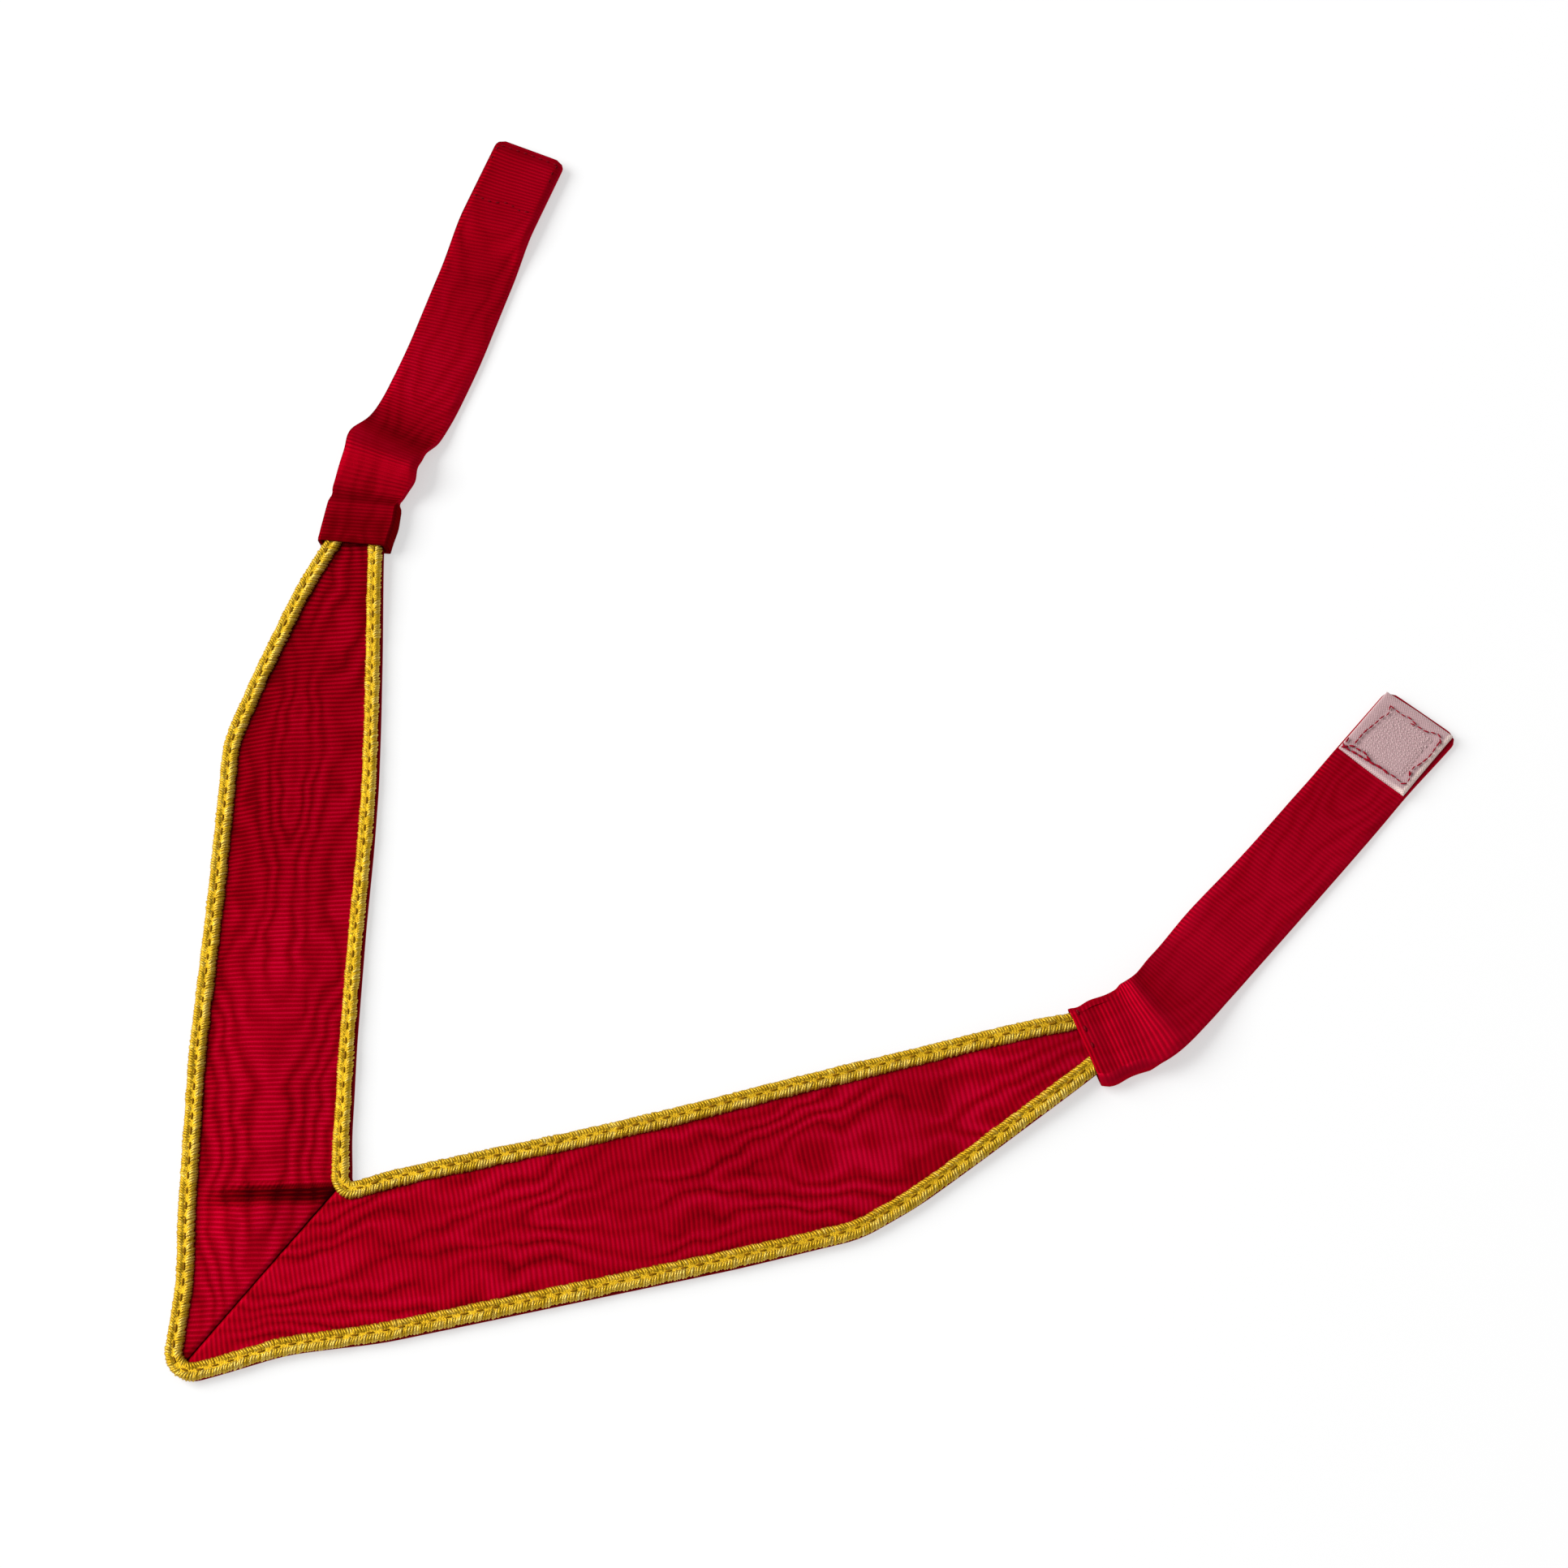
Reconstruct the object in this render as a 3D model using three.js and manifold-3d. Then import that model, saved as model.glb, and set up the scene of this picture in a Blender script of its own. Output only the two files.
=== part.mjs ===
import * as THREE from 'three';
import { mergeVertices } from 'three/addons/utils/BufferGeometryUtils.js';
import Module from 'manifold-3d';

// A ribbon collar laid flat: two arms of ribbed ribbon meet in a mitre, metallic braid
// runs along their outer and inner edges, and each arm ends in a sleeve strap that
// fastens behind the neck with a hook-and-loop pair.
// Millimetres, +Z up. The origin is the middle of the mitre, on the underside.
// The arms open towards +Y, and the mitre lies on x = 0.

// Arms
const ribbonWidth = 50.8;
const armSpread = 79;
const leftArmLength = 220.7;
const rightArmLength = 229;
const tipRadius = 9.7;
const throatRadius = 2;
const bendEase = 6;

// Cloth, and the small gap that every two pieces keep
const clothThickness = 1;
const layGap = 0.3;

// Braid
const braidWidth = 5.4;
const braidHeight = 1.4;
const braidOverhang = 0.3;
const ribbonUnderBraid = 1.2;

// Step in the left ribbon, where the seam's turned cloth ends beneath it
const creaseHeight = 0.7;
const creaseRamp = 4.4;
const creaseBack = 3.5;

// Straps
const strapWidth = 26.2;
const strapThickness = 2.4;
const strapEdge = 0.8;
const strapCorner = 3;
const mouthHeading = 29.5;
const leftStrapAside = -0.8;
const rightStrapAside = 0.7;
const leftEndSkew = 6.5;
const endSkewSpan = 30;
const pocketDepth = 15;
const armInsert = 12;
const armRise = 45;
const armSeat = 6;
const leftStrapFree = 148.5;
const rightStrapFree = 136.8;

// Hook-and-loop squares
const padSize = 25;
const padThickness = 2;
const padCorner = 0.6;
const padRamp = 24;

// Each edge of an arm, from its corner on the mitre (0) to the sleeve's mouth (1), and
// its distance from the straight inner line of the V as a share of the ribbon's width.
// At the inner edge the backing shows past the braid by a share of the braid's width, and
// the braid is a little narrower on the left arm, where it rolls over the edge.
const EDGES = {
  left: {
    outer: [
      { at: 0, out: 1.04 },
      { at: 0.05, out: 1.035 },
      { at: 0.115, out: 1.0 },
      { at: 0.19, out: 1.024 },
      { at: 0.37, out: 1.053 },
      { at: 0.57, out: 1.022 },
      { at: 0.755, out: 1.008 },
      { at: 0.85, out: 0.828 },
      { at: 0.93, out: 0.642 },
      { at: 0.975, out: 0.524 },
      { at: 1, out: 0.445 },
    ],
    inner: [
      { at: 0, out: 0.015, show: 0.1, braid: 1 },
      { at: 0.04, out: 0.008, show: 0.1, braid: 0.95 },
      { at: 0.1, out: -0.002, show: 0.1, braid: 0.88 },
      { at: 0.38, out: 0.006, show: 0.1, braid: 0.86 },
      { at: 0.6, out: -0.011, show: 0.1, braid: 0.86 },
      { at: 0.7, out: -0.004, show: 0.1, braid: 0.86 },
      { at: 0.85, out: 0.024, show: 0.1, braid: 0.86 },
      { at: 1, out: 0.042, show: 0.05, braid: 0.86 },
    ],
  },
  right: {
    outer: [
      { at: 0, out: 1.04 },
      { at: 0.05, out: 1.035 },
      { at: 0.13, out: 1.0 },
      { at: 0.23, out: 1.048 },
      { at: 0.39, out: 1.062 },
      { at: 0.6, out: 1.079 },
      { at: 0.735, out: 1.066 },
      { at: 0.8, out: 0.944 },
      { at: 0.86, out: 0.788 },
      { at: 0.92, out: 0.634 },
      { at: 0.975, out: 0.49 },
      { at: 1, out: 0.418 },
    ],
    inner: [
      { at: 0, out: 0.015, show: 0.1, braid: 1 },
      { at: 0.04, out: 0.014, show: 0.1, braid: 1 },
      { at: 0.1, out: 0.022, show: 0.1, braid: 1 },
      { at: 0.33, out: 0.036, show: 0.1, braid: 1 },
      { at: 0.47, out: 0.032, show: 0.1, braid: 1 },
      { at: 0.6, out: 0.012, show: 0.1, braid: 1 },
      { at: 0.73, out: 0.004, show: 0.1, braid: 1 },
      { at: 0.86, out: -0.006, show: 0.1, braid: 1 },
      { at: 0.96, out: 0, show: 0.1, braid: 1 },
      { at: 1, out: 0.014, show: 0.1, braid: 1 },
    ],
  },
};

// Each strap, from the closed end of its pocket (0) to its free end (1): turn in degrees
// from the mouth's heading towards the middle, puff from flat (0) to the sleeve's full
// height and width (1), rise of the underside and extra half width on the inner and the
// outer side as shares of the strap's width.
const STRAPS = {
  left: [
    { at: 0, turn: 0, puff: 1, rise: 0, inner: 0.01, outer: 0.031 },
    { at: 0.03, turn: 5.2, puff: 0.45, rise: 0.02, inner: 0.01, outer: 0.015 },
    { at: 0.07, turn: 10, puff: 0.32, rise: 0.13, inner: 0.01, outer: 0.01 },
    { at: 0.115, turn: 14.2, puff: 0.3, rise: 0.2, inner: 0.015, outer: 0.01 },
    { at: 0.147, turn: 17, puff: 0.2, rise: 0.15, inner: 0.02, outer: 0.01 },
    { at: 0.19, turn: 16, puff: 0.1, rise: 0.06, inner: 0.01, outer: 0 },
    { at: 0.25, turn: 13.6, puff: 0, rise: 0.02, inner: 0, outer: 0 },
    { at: 0.29, turn: 12, puff: 0, rise: 0, inner: 0, outer: 0 },
    { at: 0.37, turn: 11, puff: 0, rise: 0, inner: 0, outer: 0 },
    { at: 0.48, turn: 7.4, puff: 0, rise: 0, inner: 0, outer: 0 },
    { at: 0.72, turn: 8, puff: 0, rise: 0, inner: 0, outer: 0 },
    { at: 0.8, turn: 10.5, puff: 0, rise: 0, inner: 0, outer: 0.01 },
    { at: 1, turn: 11, puff: 0, rise: 0, inner: 0, outer: 0.01 },
  ],
  right: [
    { at: 0, turn: 0, puff: 1, rise: 0, inner: 0.047, outer: 0.05 },
    { at: 0.05, turn: 12, puff: 0.7, rise: 0.06, inner: 0.02, outer: 0.034 },
    { at: 0.1, turn: 20.5, puff: 0.4, rise: 0.07, inner: 0.01, outer: 0.01 },
    { at: 0.16, turn: 27, puff: 0.2, rise: 0.04, inner: 0, outer: 0 },
    { at: 0.22, turn: 28.2, puff: 0.05, rise: 0.02, inner: 0, outer: 0 },
    { at: 0.33, turn: 27.2, puff: 0, rise: 0, inner: 0, outer: 0 },
    { at: 0.6, turn: 27.4, puff: 0, rise: 0, inner: 0, outer: 0.01 },
    { at: 1, turn: 27.4, puff: 0, rise: 0, inner: 0, outer: 0.02 },
  ],
};

// Each square on its strap: turn in degrees towards the middle, and its distance from
// the strap's end and to the outer side of its middle as shares of the square's size.
const PADS = {
  left: { turn: 2, fromEnd: 0.1, aside: 0.01 },
  right: { turn: 0.5, fromEnd: 0.02, aside: 0.01 },
};

// The braid's section: two ridges and the groove between them, as shares of its width,
// counted from the cloth's edge inwards, and of its height.
const BRAID_SECTION = [
  { across: 0, up: 0 },
  { across: 1, up: 0 },
  { across: 1, up: 0.35 },
  { across: 0.89, up: 0.84 },
  { across: 0.75, up: 1 },
  { across: 0.61, up: 0.84 },
  { across: 0.5, up: 0.6 },
  { across: 0.39, up: 0.84 },
  { across: 0.25, up: 1 },
  { across: 0.11, up: 0.84 },
  { across: 0, up: 0.35 },
];

// Steps of the lofts
const arcSteps = 5;
const braidSteps = 24;
const mitreSteps = 11;
const armSteps = 17;
const acrossSteps = 6;
const pocketSteps = 3;
const strapSteps = 28;
const easeSamples = 9;
const mouthSamples = 48;

const halfSpread = THREE.MathUtils.degToRad(armSpread / 2);
const mitreLength = ribbonWidth / Math.sin(halfSpread);
const throat = new THREE.Vector2(0, mitreLength / 2);
const stackBacking = 0;
const stackRibbon = stackBacking + clothThickness + layGap;
const stackBraid = stackRibbon + clothThickness + layGap;
const stackTop = stackBraid + braidHeight;
const sleeveLift = clothThickness + layGap;
const pocketCeiling = sleeveLift + stackTop + layGap;
const sleeveHeight = pocketCeiling + clothThickness;

const arms = {
  left: {
    name: 'left',
    sign: -1,
    length: leftArmLength,
    free: leftStrapFree,
    aside: leftStrapAside,
    skew: leftEndSkew,
  },
  right: {
    name: 'right',
    sign: 1,
    length: rightArmLength,
    free: rightStrapFree,
    aside: rightStrapAside,
    skew: 0,
  },
};
for (const arm of Object.values(arms)) {
  arm.along = new THREE.Vector2(arm.sign * Math.sin(halfSpread), Math.cos(halfSpread));
  arm.out = new THREE.Vector2(arm.sign * Math.cos(halfSpread), -Math.sin(halfSpread));
}

const mix = THREE.MathUtils.lerp;
const smooth = THREE.MathUtils.smoothstep;

// One column of a table, straight between its rows and carried on past the last one.
function column(rows, name, at) {
  let k = 1;
  while (k < rows.length - 1 && at > rows[k].at) k += 1;
  const [a, b] = [rows[k - 1], rows[k]];
  const share = (Math.max(at, rows[0].at) - a.at) / (b.at - a.at);
  return mix(a[name], b[name], share);
}

// The same column with its corners eased over a span to either side.
function eased(rows, name, at, span) {
  let sum = 0;
  for (let k = 0; k < easeSamples; k += 1) {
    const shift = (2 * (k + 0.5)) / easeSamples - 1;
    sum += column(rows, name, at + shift * span);
  }
  return sum / easeSamples;
}

// An edge of an arm: where its corner arc starts and ends, and how far it lies from the
// straight inner line at a distance s along the arm.
function edgeOf(arm, which) {
  const rows = EDGES[arm.name][which];
  const radius = which === 'outer' ? tipRadius : throatRadius;
  const cornerOut = rows[0].out * ribbonWidth;
  const corner = -cornerOut / Math.tan(halfSpread);
  const arcEnd = -(cornerOut - radius) / Math.tan(halfSpread);
  const arcStart = arcEnd - radius * Math.cos(halfSpread);
  const run = arm.length - corner;
  const plain = (s) =>
    eased(rows, 'out', (s - corner) / run, bendEase / run) * ribbonWidth;
  const offset = (s) => {
    if (s >= arcEnd) return plain(s);
    return plain(s) - radius + Math.sqrt(radius ** 2 - (arcEnd - s) ** 2);
  };
  const slope = (s) => {
    const step = 0.5;
    const straight = (plain(s + step) - plain(s - step)) / (2 * step);
    if (s >= arcEnd) return straight;
    return straight + (arcEnd - s) / Math.sqrt(radius ** 2 - (arcEnd - s) ** 2);
  };
  const show = (s) =>
    eased(rows, 'show', (s - corner) / run, bendEase / run) * braidWidth;
  const wide = (s) => {
    if (which === 'outer') return braidWidth;
    return eased(rows, 'braid', (s - corner) / run, bendEase / run) * braidWidth;
  };
  return { arm, which, radius, arcStart, arcEnd, offset, slope, show, wide };
}

// A point of the edge at s, moved into the cloth by inset.
function edgePoint(edge, s, inset) {
  const { arm } = edge;
  const way = edge.which === 'outer' ? -1 : 1;
  const slope = edge.slope(s);
  const normal = arm.out.clone().addScaledVector(arm.along, -slope).normalize();
  return throat
    .clone()
    .addScaledVector(arm.along, s)
    .addScaledVector(arm.out, edge.offset(s))
    .addScaledVector(normal, way * inset);
}

// Distances along an edge from the mitre to the arm's end, closer together on the arc.
function edgeStations(edge, steps) {
  const list = [];
  for (let k = 0; k < arcSteps; k += 1) {
    const angle = mix(halfSpread, Math.PI / 2, k / arcSteps);
    list.push(edge.arcEnd - edge.radius * Math.cos(angle));
  }
  const end = edge.arm.length + armInsert;
  for (let k = 0; k <= steps; k += 1) list.push(mix(edge.arcEnd, end, k / steps));
  return list;
}

// The arms climb a little at their ends, onto the back wall of the sleeve, and lie level
// from just before its mouth.
function armLift(arm, s) {
  return sleeveLift * smooth(s, arm.length - armRise, arm.length - armSeat);
}

// A closed body from rings of points, each ring joined to the next, flat at both ends.
function solidFromRings(rings) {
  const count = rings[0].length;
  const positions = rings.flat().flatMap((p) => [p.x, p.y, p.z]);
  const index = [];
  for (let r = 0; r + 1 < rings.length; r += 1) {
    for (let k = 0; k < count; k += 1) {
      const next = (k + 1) % count;
      const [a, b] = [r * count + k, r * count + next];
      const [c, d] = [a + count, b + count];
      index.push(a, b, c, b, d, c);
    }
  }
  for (const [r, flip] of [[0, true], [rings.length - 1, false]]) {
    const flat = capTriangles(rings[r]);
    for (const [i, j, k] of flat) {
      const base = r * count;
      if (flip) index.push(base + i, base + k, base + j);
      else index.push(base + i, base + j, base + k);
    }
  }
  const geometry = new THREE.BufferGeometry();
  geometry.setAttribute('position', new THREE.Float32BufferAttribute(positions, 3));
  geometry.setIndex(index);
  if (signedVolume(positions, index) < 0) index.reverse();
  geometry.setIndex(index);
  return geometry;
}

// The triangles of a flat end, worked out in the plane of its own widest direction.
function capTriangles(ring) {
  const first = ring[0];
  let far = first;
  for (const p of ring) if (p.distanceTo(first) > far.distanceTo(first)) far = p;
  const axis = new THREE.Vector3(far.x - first.x, far.y - first.y, 0).normalize();
  const flat = ring.map((p) => {
    const d = p.clone().sub(first);
    return new THREE.Vector2(d.dot(axis), p.z);
  });
  const clockwise = THREE.ShapeUtils.isClockWise(flat);
  const order = flat.map((p, k) => k);
  if (clockwise) order.reverse();
  const faces = THREE.ShapeUtils.triangulateShape(order.map((k) => flat[k]), []);
  return faces.map((face) => {
    const [i, j, k] = face.map((v) => order[v]);
    return clockwise ? [i, k, j] : [i, j, k];
  });
}

function signedVolume(positions, index) {
  const a = new THREE.Vector3();
  const b = new THREE.Vector3();
  const c = new THREE.Vector3();
  let sum = 0;
  for (let k = 0; k < index.length; k += 3) {
    a.fromArray(positions, index[k] * 3);
    b.fromArray(positions, index[k + 1] * 3);
    c.fromArray(positions, index[k + 2] * 3);
    sum += a.dot(b.cross(c)) / 6;
  }
  return sum;
}

// Both arms of one edge as a single run from the left end over the mitre to the right end.
function wholeRun(makeLeft, makeRight) {
  return [...makeLeft.reverse(), ...makeRight.slice(1)];
}

function braid(which) {
  const half = (arm) => {
    const edge = edgeOf(arm, which);
    return edgeStations(edge, braidSteps).map((s) =>
      BRAID_SECTION.map((row) => {
        const p = edgePoint(edge, s, row.across * edge.wide(s));
        const z = armLift(arm, s) + stackBraid + row.up * braidHeight;
        return new THREE.Vector3(p.x, p.y, z);
      }),
    );
  };
  return solidFromRings(wholeRun(half(arms.left), half(arms.right)));
}

// Pairs of distances along the inner and the outer edge. They start on the mitre line,
// swing round until they stand square to the arm, and go on to its end.
function sectionStations(arm) {
  const inner = edgeOf(arm, 'inner');
  const outer = edgeOf(arm, 'outer');
  const square = -outer.arcStart;
  const list = [];
  for (let k = 0; k < mitreSteps; k += 1) {
    const share = (k / mitreSteps) ** 1.7;
    list.push([mix(inner.arcStart, square, share), mix(outer.arcStart, square, share)]);
  }
  const end = arm.length + armInsert;
  for (let k = 0; k <= armSteps; k += 1) {
    const s = mix(square, end, k / armSteps);
    list.push([s, s]);
  }
  return list.map(([a, b]) => ({ inner, outer, a, b }));
}

// Points across an arm from the inner to the outer edge, with the mean distance along it.
function acrossPoints(section, insetInner, insetOuter, steps) {
  const p = edgePoint(section.inner, section.a, insetInner);
  const q = edgePoint(section.outer, section.b, insetOuter);
  const list = [];
  for (let k = 0; k <= steps; k += 1) {
    const share = k / steps;
    const point = p.clone().lerp(q, share);
    list.push({ point, share, s: mix(section.a, section.b, share) });
  }
  return list;
}

function backing() {
  const half = (arm) =>
    sectionStations(arm).map((section) => {
      const show = section.inner.show(section.a);
      const row = acrossPoints(section, -show, braidOverhang, 1);
      const at = (z) => ({ point, s }) =>
        new THREE.Vector3(point.x, point.y, armLift(arm, s) + stackBacking + z);
      return [...row.map(at(0)), ...row.reverse().map(at(clothThickness))];
    });
  return solidFromRings(wholeRun(half(arms.left), half(arms.right)));
}

// Height of the left ribbon's step: it grows from the mitre and drops at the fold's edge.
function creaseLift(arm, point, share) {
  if (arm.name !== 'left') return 0;
  const s = point.clone().sub(throat).dot(arm.along);
  const fold = -creaseBack;
  const grow = smooth(s, fold - ribbonWidth / 2, fold - creaseRamp / 2);
  const drop = 1 - smooth(s, fold - creaseRamp / 2, fold + creaseRamp / 2);
  const betweenBraids = Math.sin(Math.PI * share) ** 0.5;
  return creaseHeight * grow * drop * betweenBraids;
}

function ribbon(arm) {
  const inset = ribbonUnderBraid;
  const rings = sectionStations(arm).map((section) => {
    const row = acrossPoints(section, inset, inset, acrossSteps);
    const seam = (x) => arm.sign * Math.max(arm.sign * x, layGap / 2);
    const at = (thick) => ({ point, share, s }) => {
      const crease = creaseLift(arm, point, share);
      const z = armLift(arm, s) + stackRibbon + thick + crease;
      return new THREE.Vector3(seam(point.x), point.y, z);
    };
    return [...row.map(at(0)), ...row.reverse().map(at(clothThickness))];
  });
  return solidFromRings(rings);
}

// The sleeve's mouth stands across the arm's end: its middle, heading and half width.
function mouthOf(arm) {
  const inner = edgeOf(arm, 'inner');
  const outer = edgeOf(arm, 'outer');
  const heading = THREE.MathUtils.degToRad(mouthHeading);
  const ahead = new THREE.Vector2(arm.sign * Math.sin(heading), Math.cos(heading));
  const out = new THREE.Vector2(arm.sign * Math.cos(heading), -Math.sin(heading));
  const endsAt = (s) => [edgePoint(inner, s, -inner.show(s)), edgePoint(outer, s, 0)];
  const [p, q] = endsAt(arm.length);
  const middle = p.clone().lerp(q, 0.5);
  let reach = 0;
  for (let k = 0; k <= mouthSamples; k += 1) {
    const s = arm.length + mix(-armInsert, armInsert, k / mouthSamples);
    for (const point of endsAt(s)) {
      const offset = point.sub(middle);
      if (offset.dot(ahead) < -clothThickness) continue;
      reach = Math.max(reach, Math.abs(offset.dot(out)));
    }
  }
  return { middle, ahead, out, halfWidth: reach + layGap };
}

// A strap as a list of stations: place, heading, half widths, underside and thickness.
function strapStations(arm) {
  const mouth = mouthOf(arm);
  const rows = STRAPS[arm.name];
  const pocket = pocketDepth + clothThickness;
  const list = [];
  const place = mouth.middle.clone().addScaledVector(mouth.out, arm.aside);
  const total = pocketSteps + strapSteps;
  let travelled = 0;
  for (let k = 0; k <= total; k += 1) {
    const inPocket = k <= pocketSteps;
    const free = inPocket ? 0 : (k - pocketSteps) / strapSteps;
    const target = inPocket ? (pocket * k) / pocketSteps : pocket + free * arm.free;
    const turn = THREE.MathUtils.degToRad(column(rows, 'turn', free)) * arm.sign;
    const ahead = mouth.ahead.clone().rotateAround(new THREE.Vector2(), turn);
    const out = mouth.out.clone().rotateAround(new THREE.Vector2(), turn);
    place.addScaledVector(ahead, target - travelled);
    travelled = target;
    const puff = column(rows, 'puff', free);
    const left = arm.free * (1 - free);
    const plain = mix(strapWidth / 2, mouth.halfWidth + clothThickness, puff);
    const corner = Math.max(0, strapCorner - left);
    const rounding = strapCorner - Math.sqrt(strapCorner ** 2 - corner ** 2);
    list.push({
      place: place.clone(),
      ahead,
      out,
      left,
      inner: plain + column(rows, 'inner', free) * strapWidth - rounding,
      outer: plain + column(rows, 'outer', free) * strapWidth - rounding,
      floor: column(rows, 'rise', free) * strapWidth,
      thick: mix(strapThickness, sleeveHeight, puff),
    });
  }
  return { mouth, list };
}

// One ring of a strap: flat below and above, with both long edges bevelled. Towards the
// free end the rings slant, because the left strap's end is not square.
function strapRing(arm, station) {
  const { place, ahead, out, inner, outer, thick } = station;
  const lift = endLift(arm, station);
  const slant = Math.tan(THREE.MathUtils.degToRad(arm.skew));
  const skew = slant * (1 - smooth(station.left, 0, endSkewSpan));
  const floor = station.floor + lift;
  const bevel = strapEdge;
  const shape = [
    [-inner + bevel, 0],
    [-inner / 3, 0],
    [outer / 3, 0],
    [outer - bevel, 0],
    [outer, bevel],
    [outer, thick - bevel],
    [outer - bevel, thick],
    [outer / 3, thick],
    [-inner / 3, thick],
    [-inner + bevel, thick],
    [-inner, thick - bevel],
    [-inner, bevel],
  ];
  return shape.map(([q, z]) => {
    const p = place.clone().addScaledVector(out, q).addScaledVector(ahead, q * skew);
    return new THREE.Vector3(p.x, p.y, floor + z);
  });
}

// The left strap's end lies on its square; the right strap carries its own on top.
function endLift(arm, station) {
  if (arm.name !== 'left') return 0;
  const start = (1 + 2 * PADS.left.fromEnd) * padSize;
  const share = 1 - smooth(station.left, start + layGap, start + padRamp);
  return share * (padThickness + layGap);
}

const wasm = await Module();
wasm.setup();

function toSolid(geometry) {
  const merged = mergeVertices(geometry);
  const mesh = new wasm.Mesh({
    numProp: 3,
    vertProperties: new Float32Array(merged.getAttribute('position').array),
    triVerts: new Uint32Array(merged.getIndex().array),
  });
  return new wasm.Manifold(mesh);
}

function toGeometry(solid) {
  const mesh = solid.getMesh();
  const geometry = new THREE.BufferGeometry();
  geometry.setAttribute('position', new THREE.BufferAttribute(mesh.vertProperties, 3));
  geometry.setIndex(new THREE.BufferAttribute(mesh.triVerts, 1));
  return geometry;
}

function strap(arm) {
  const { mouth, list } = strapStations(arm);
  const body = solidFromRings(list.map((station) => strapRing(arm, station)));
  const cavityRing = (ahead) => {
    const centre = mouth.middle.clone().addScaledVector(mouth.ahead, ahead);
    const corners = [
      [-mouth.halfWidth, clothThickness],
      [mouth.halfWidth, clothThickness],
      [mouth.halfWidth, pocketCeiling],
      [-mouth.halfWidth, pocketCeiling],
    ];
    return corners.map(([q, z]) => {
      const p = centre.clone().addScaledVector(mouth.out, q);
      return new THREE.Vector3(p.x, p.y, z);
    });
  };
  const cavity = solidFromRings([cavityRing(-clothThickness), cavityRing(pocketDepth)]);
  return toGeometry(toSolid(body).subtract(toSolid(cavity)));
}

function roundedSquare(size, radius) {
  const h = size / 2;
  const shape = new THREE.Shape();
  shape.moveTo(-h + radius, -h);
  shape.lineTo(h - radius, -h);
  shape.absarc(h - radius, -h + radius, radius, -Math.PI / 2, 0);
  shape.lineTo(h, h - radius);
  shape.absarc(h - radius, h - radius, radius, 0, Math.PI / 2);
  shape.lineTo(-h + radius, h);
  shape.absarc(-h + radius, h - radius, radius, Math.PI / 2, Math.PI);
  shape.lineTo(-h, -h + radius);
  shape.absarc(-h + radius, -h + radius, radius, Math.PI, 1.5 * Math.PI);
  return shape;
}

function padGeometry() {
  const options = { depth: padThickness, bevelEnabled: false, curveSegments: 3 };
  return new THREE.ExtrudeGeometry(roundedSquare(padSize, padCorner), options);
}

// A square centred on the strap near its free end, with its underside at z.
function placePad(mesh, arm, z) {
  const { list } = strapStations(arm);
  const end = list[list.length - 1];
  const row = PADS[arm.name];
  const centre = end.place
    .clone()
    .addScaledVector(end.ahead, -(row.fromEnd + 0.5) * padSize)
    .addScaledVector(end.out, row.aside * padSize);
  const turn = THREE.MathUtils.degToRad(row.turn) * arm.sign;
  mesh.position.set(centre.x, centre.y, z);
  mesh.rotation.z = Math.atan2(end.ahead.y, end.ahead.x) - Math.PI / 2 + turn;
}

function material(color, roughness, metalness) {
  return new THREE.MeshStandardMaterial({ color, roughness, metalness });
}

function piece(name, geometry, look) {
  const mesh = new THREE.Mesh(geometry, look);
  mesh.name = name;
  collar.add(mesh);
  return mesh;
}

const collar = new THREE.Group();
piece('backing', backing(), material('#5c0410', 0.8, 0));
piece('ribbon_left', ribbon(arms.left), material('#a3001c', 0.55, 0));
piece('ribbon_right', ribbon(arms.right), material('#a3001c', 0.55, 0));
piece('braid_outer', braid('outer'), material('#c79a1a', 0.4, 0.8));
piece('braid_inner', braid('inner'), material('#c79a1a', 0.4, 0.8));
piece('strap_left', strap(arms.left), material('#94001a', 0.6, 0));
piece('strap_right', strap(arms.right), material('#94001a', 0.6, 0));
const hookPad = piece('hook_pad', padGeometry(), material('#cda9ab', 0.9, 0));
const loopPad = piece('loop_pad', padGeometry(), material('#cda9ab', 0.9, 0));
placePad(hookPad, arms.right, strapThickness + layGap);
placePad(loopPad, arms.left, 0);

export default collar;
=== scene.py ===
import math

import bpy
import numpy as np
from mathutils import Matrix, Vector


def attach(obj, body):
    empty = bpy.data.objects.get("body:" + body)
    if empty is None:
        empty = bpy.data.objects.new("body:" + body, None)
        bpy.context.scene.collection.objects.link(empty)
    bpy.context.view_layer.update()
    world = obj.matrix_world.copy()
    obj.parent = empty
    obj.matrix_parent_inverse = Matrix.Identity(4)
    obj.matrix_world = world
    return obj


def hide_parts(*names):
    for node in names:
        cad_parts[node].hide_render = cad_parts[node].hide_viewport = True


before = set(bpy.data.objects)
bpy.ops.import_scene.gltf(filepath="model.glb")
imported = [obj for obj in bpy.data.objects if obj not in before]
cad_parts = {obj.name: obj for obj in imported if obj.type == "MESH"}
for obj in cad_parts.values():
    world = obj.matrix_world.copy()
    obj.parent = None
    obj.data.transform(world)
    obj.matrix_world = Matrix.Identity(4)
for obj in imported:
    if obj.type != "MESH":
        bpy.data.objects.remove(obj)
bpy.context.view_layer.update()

# A V-shaped ribbon collar laid flat. Sizes are in millimetres, as in the solids, and
# become metres where a mesh is made.
MM = 0.001

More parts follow.
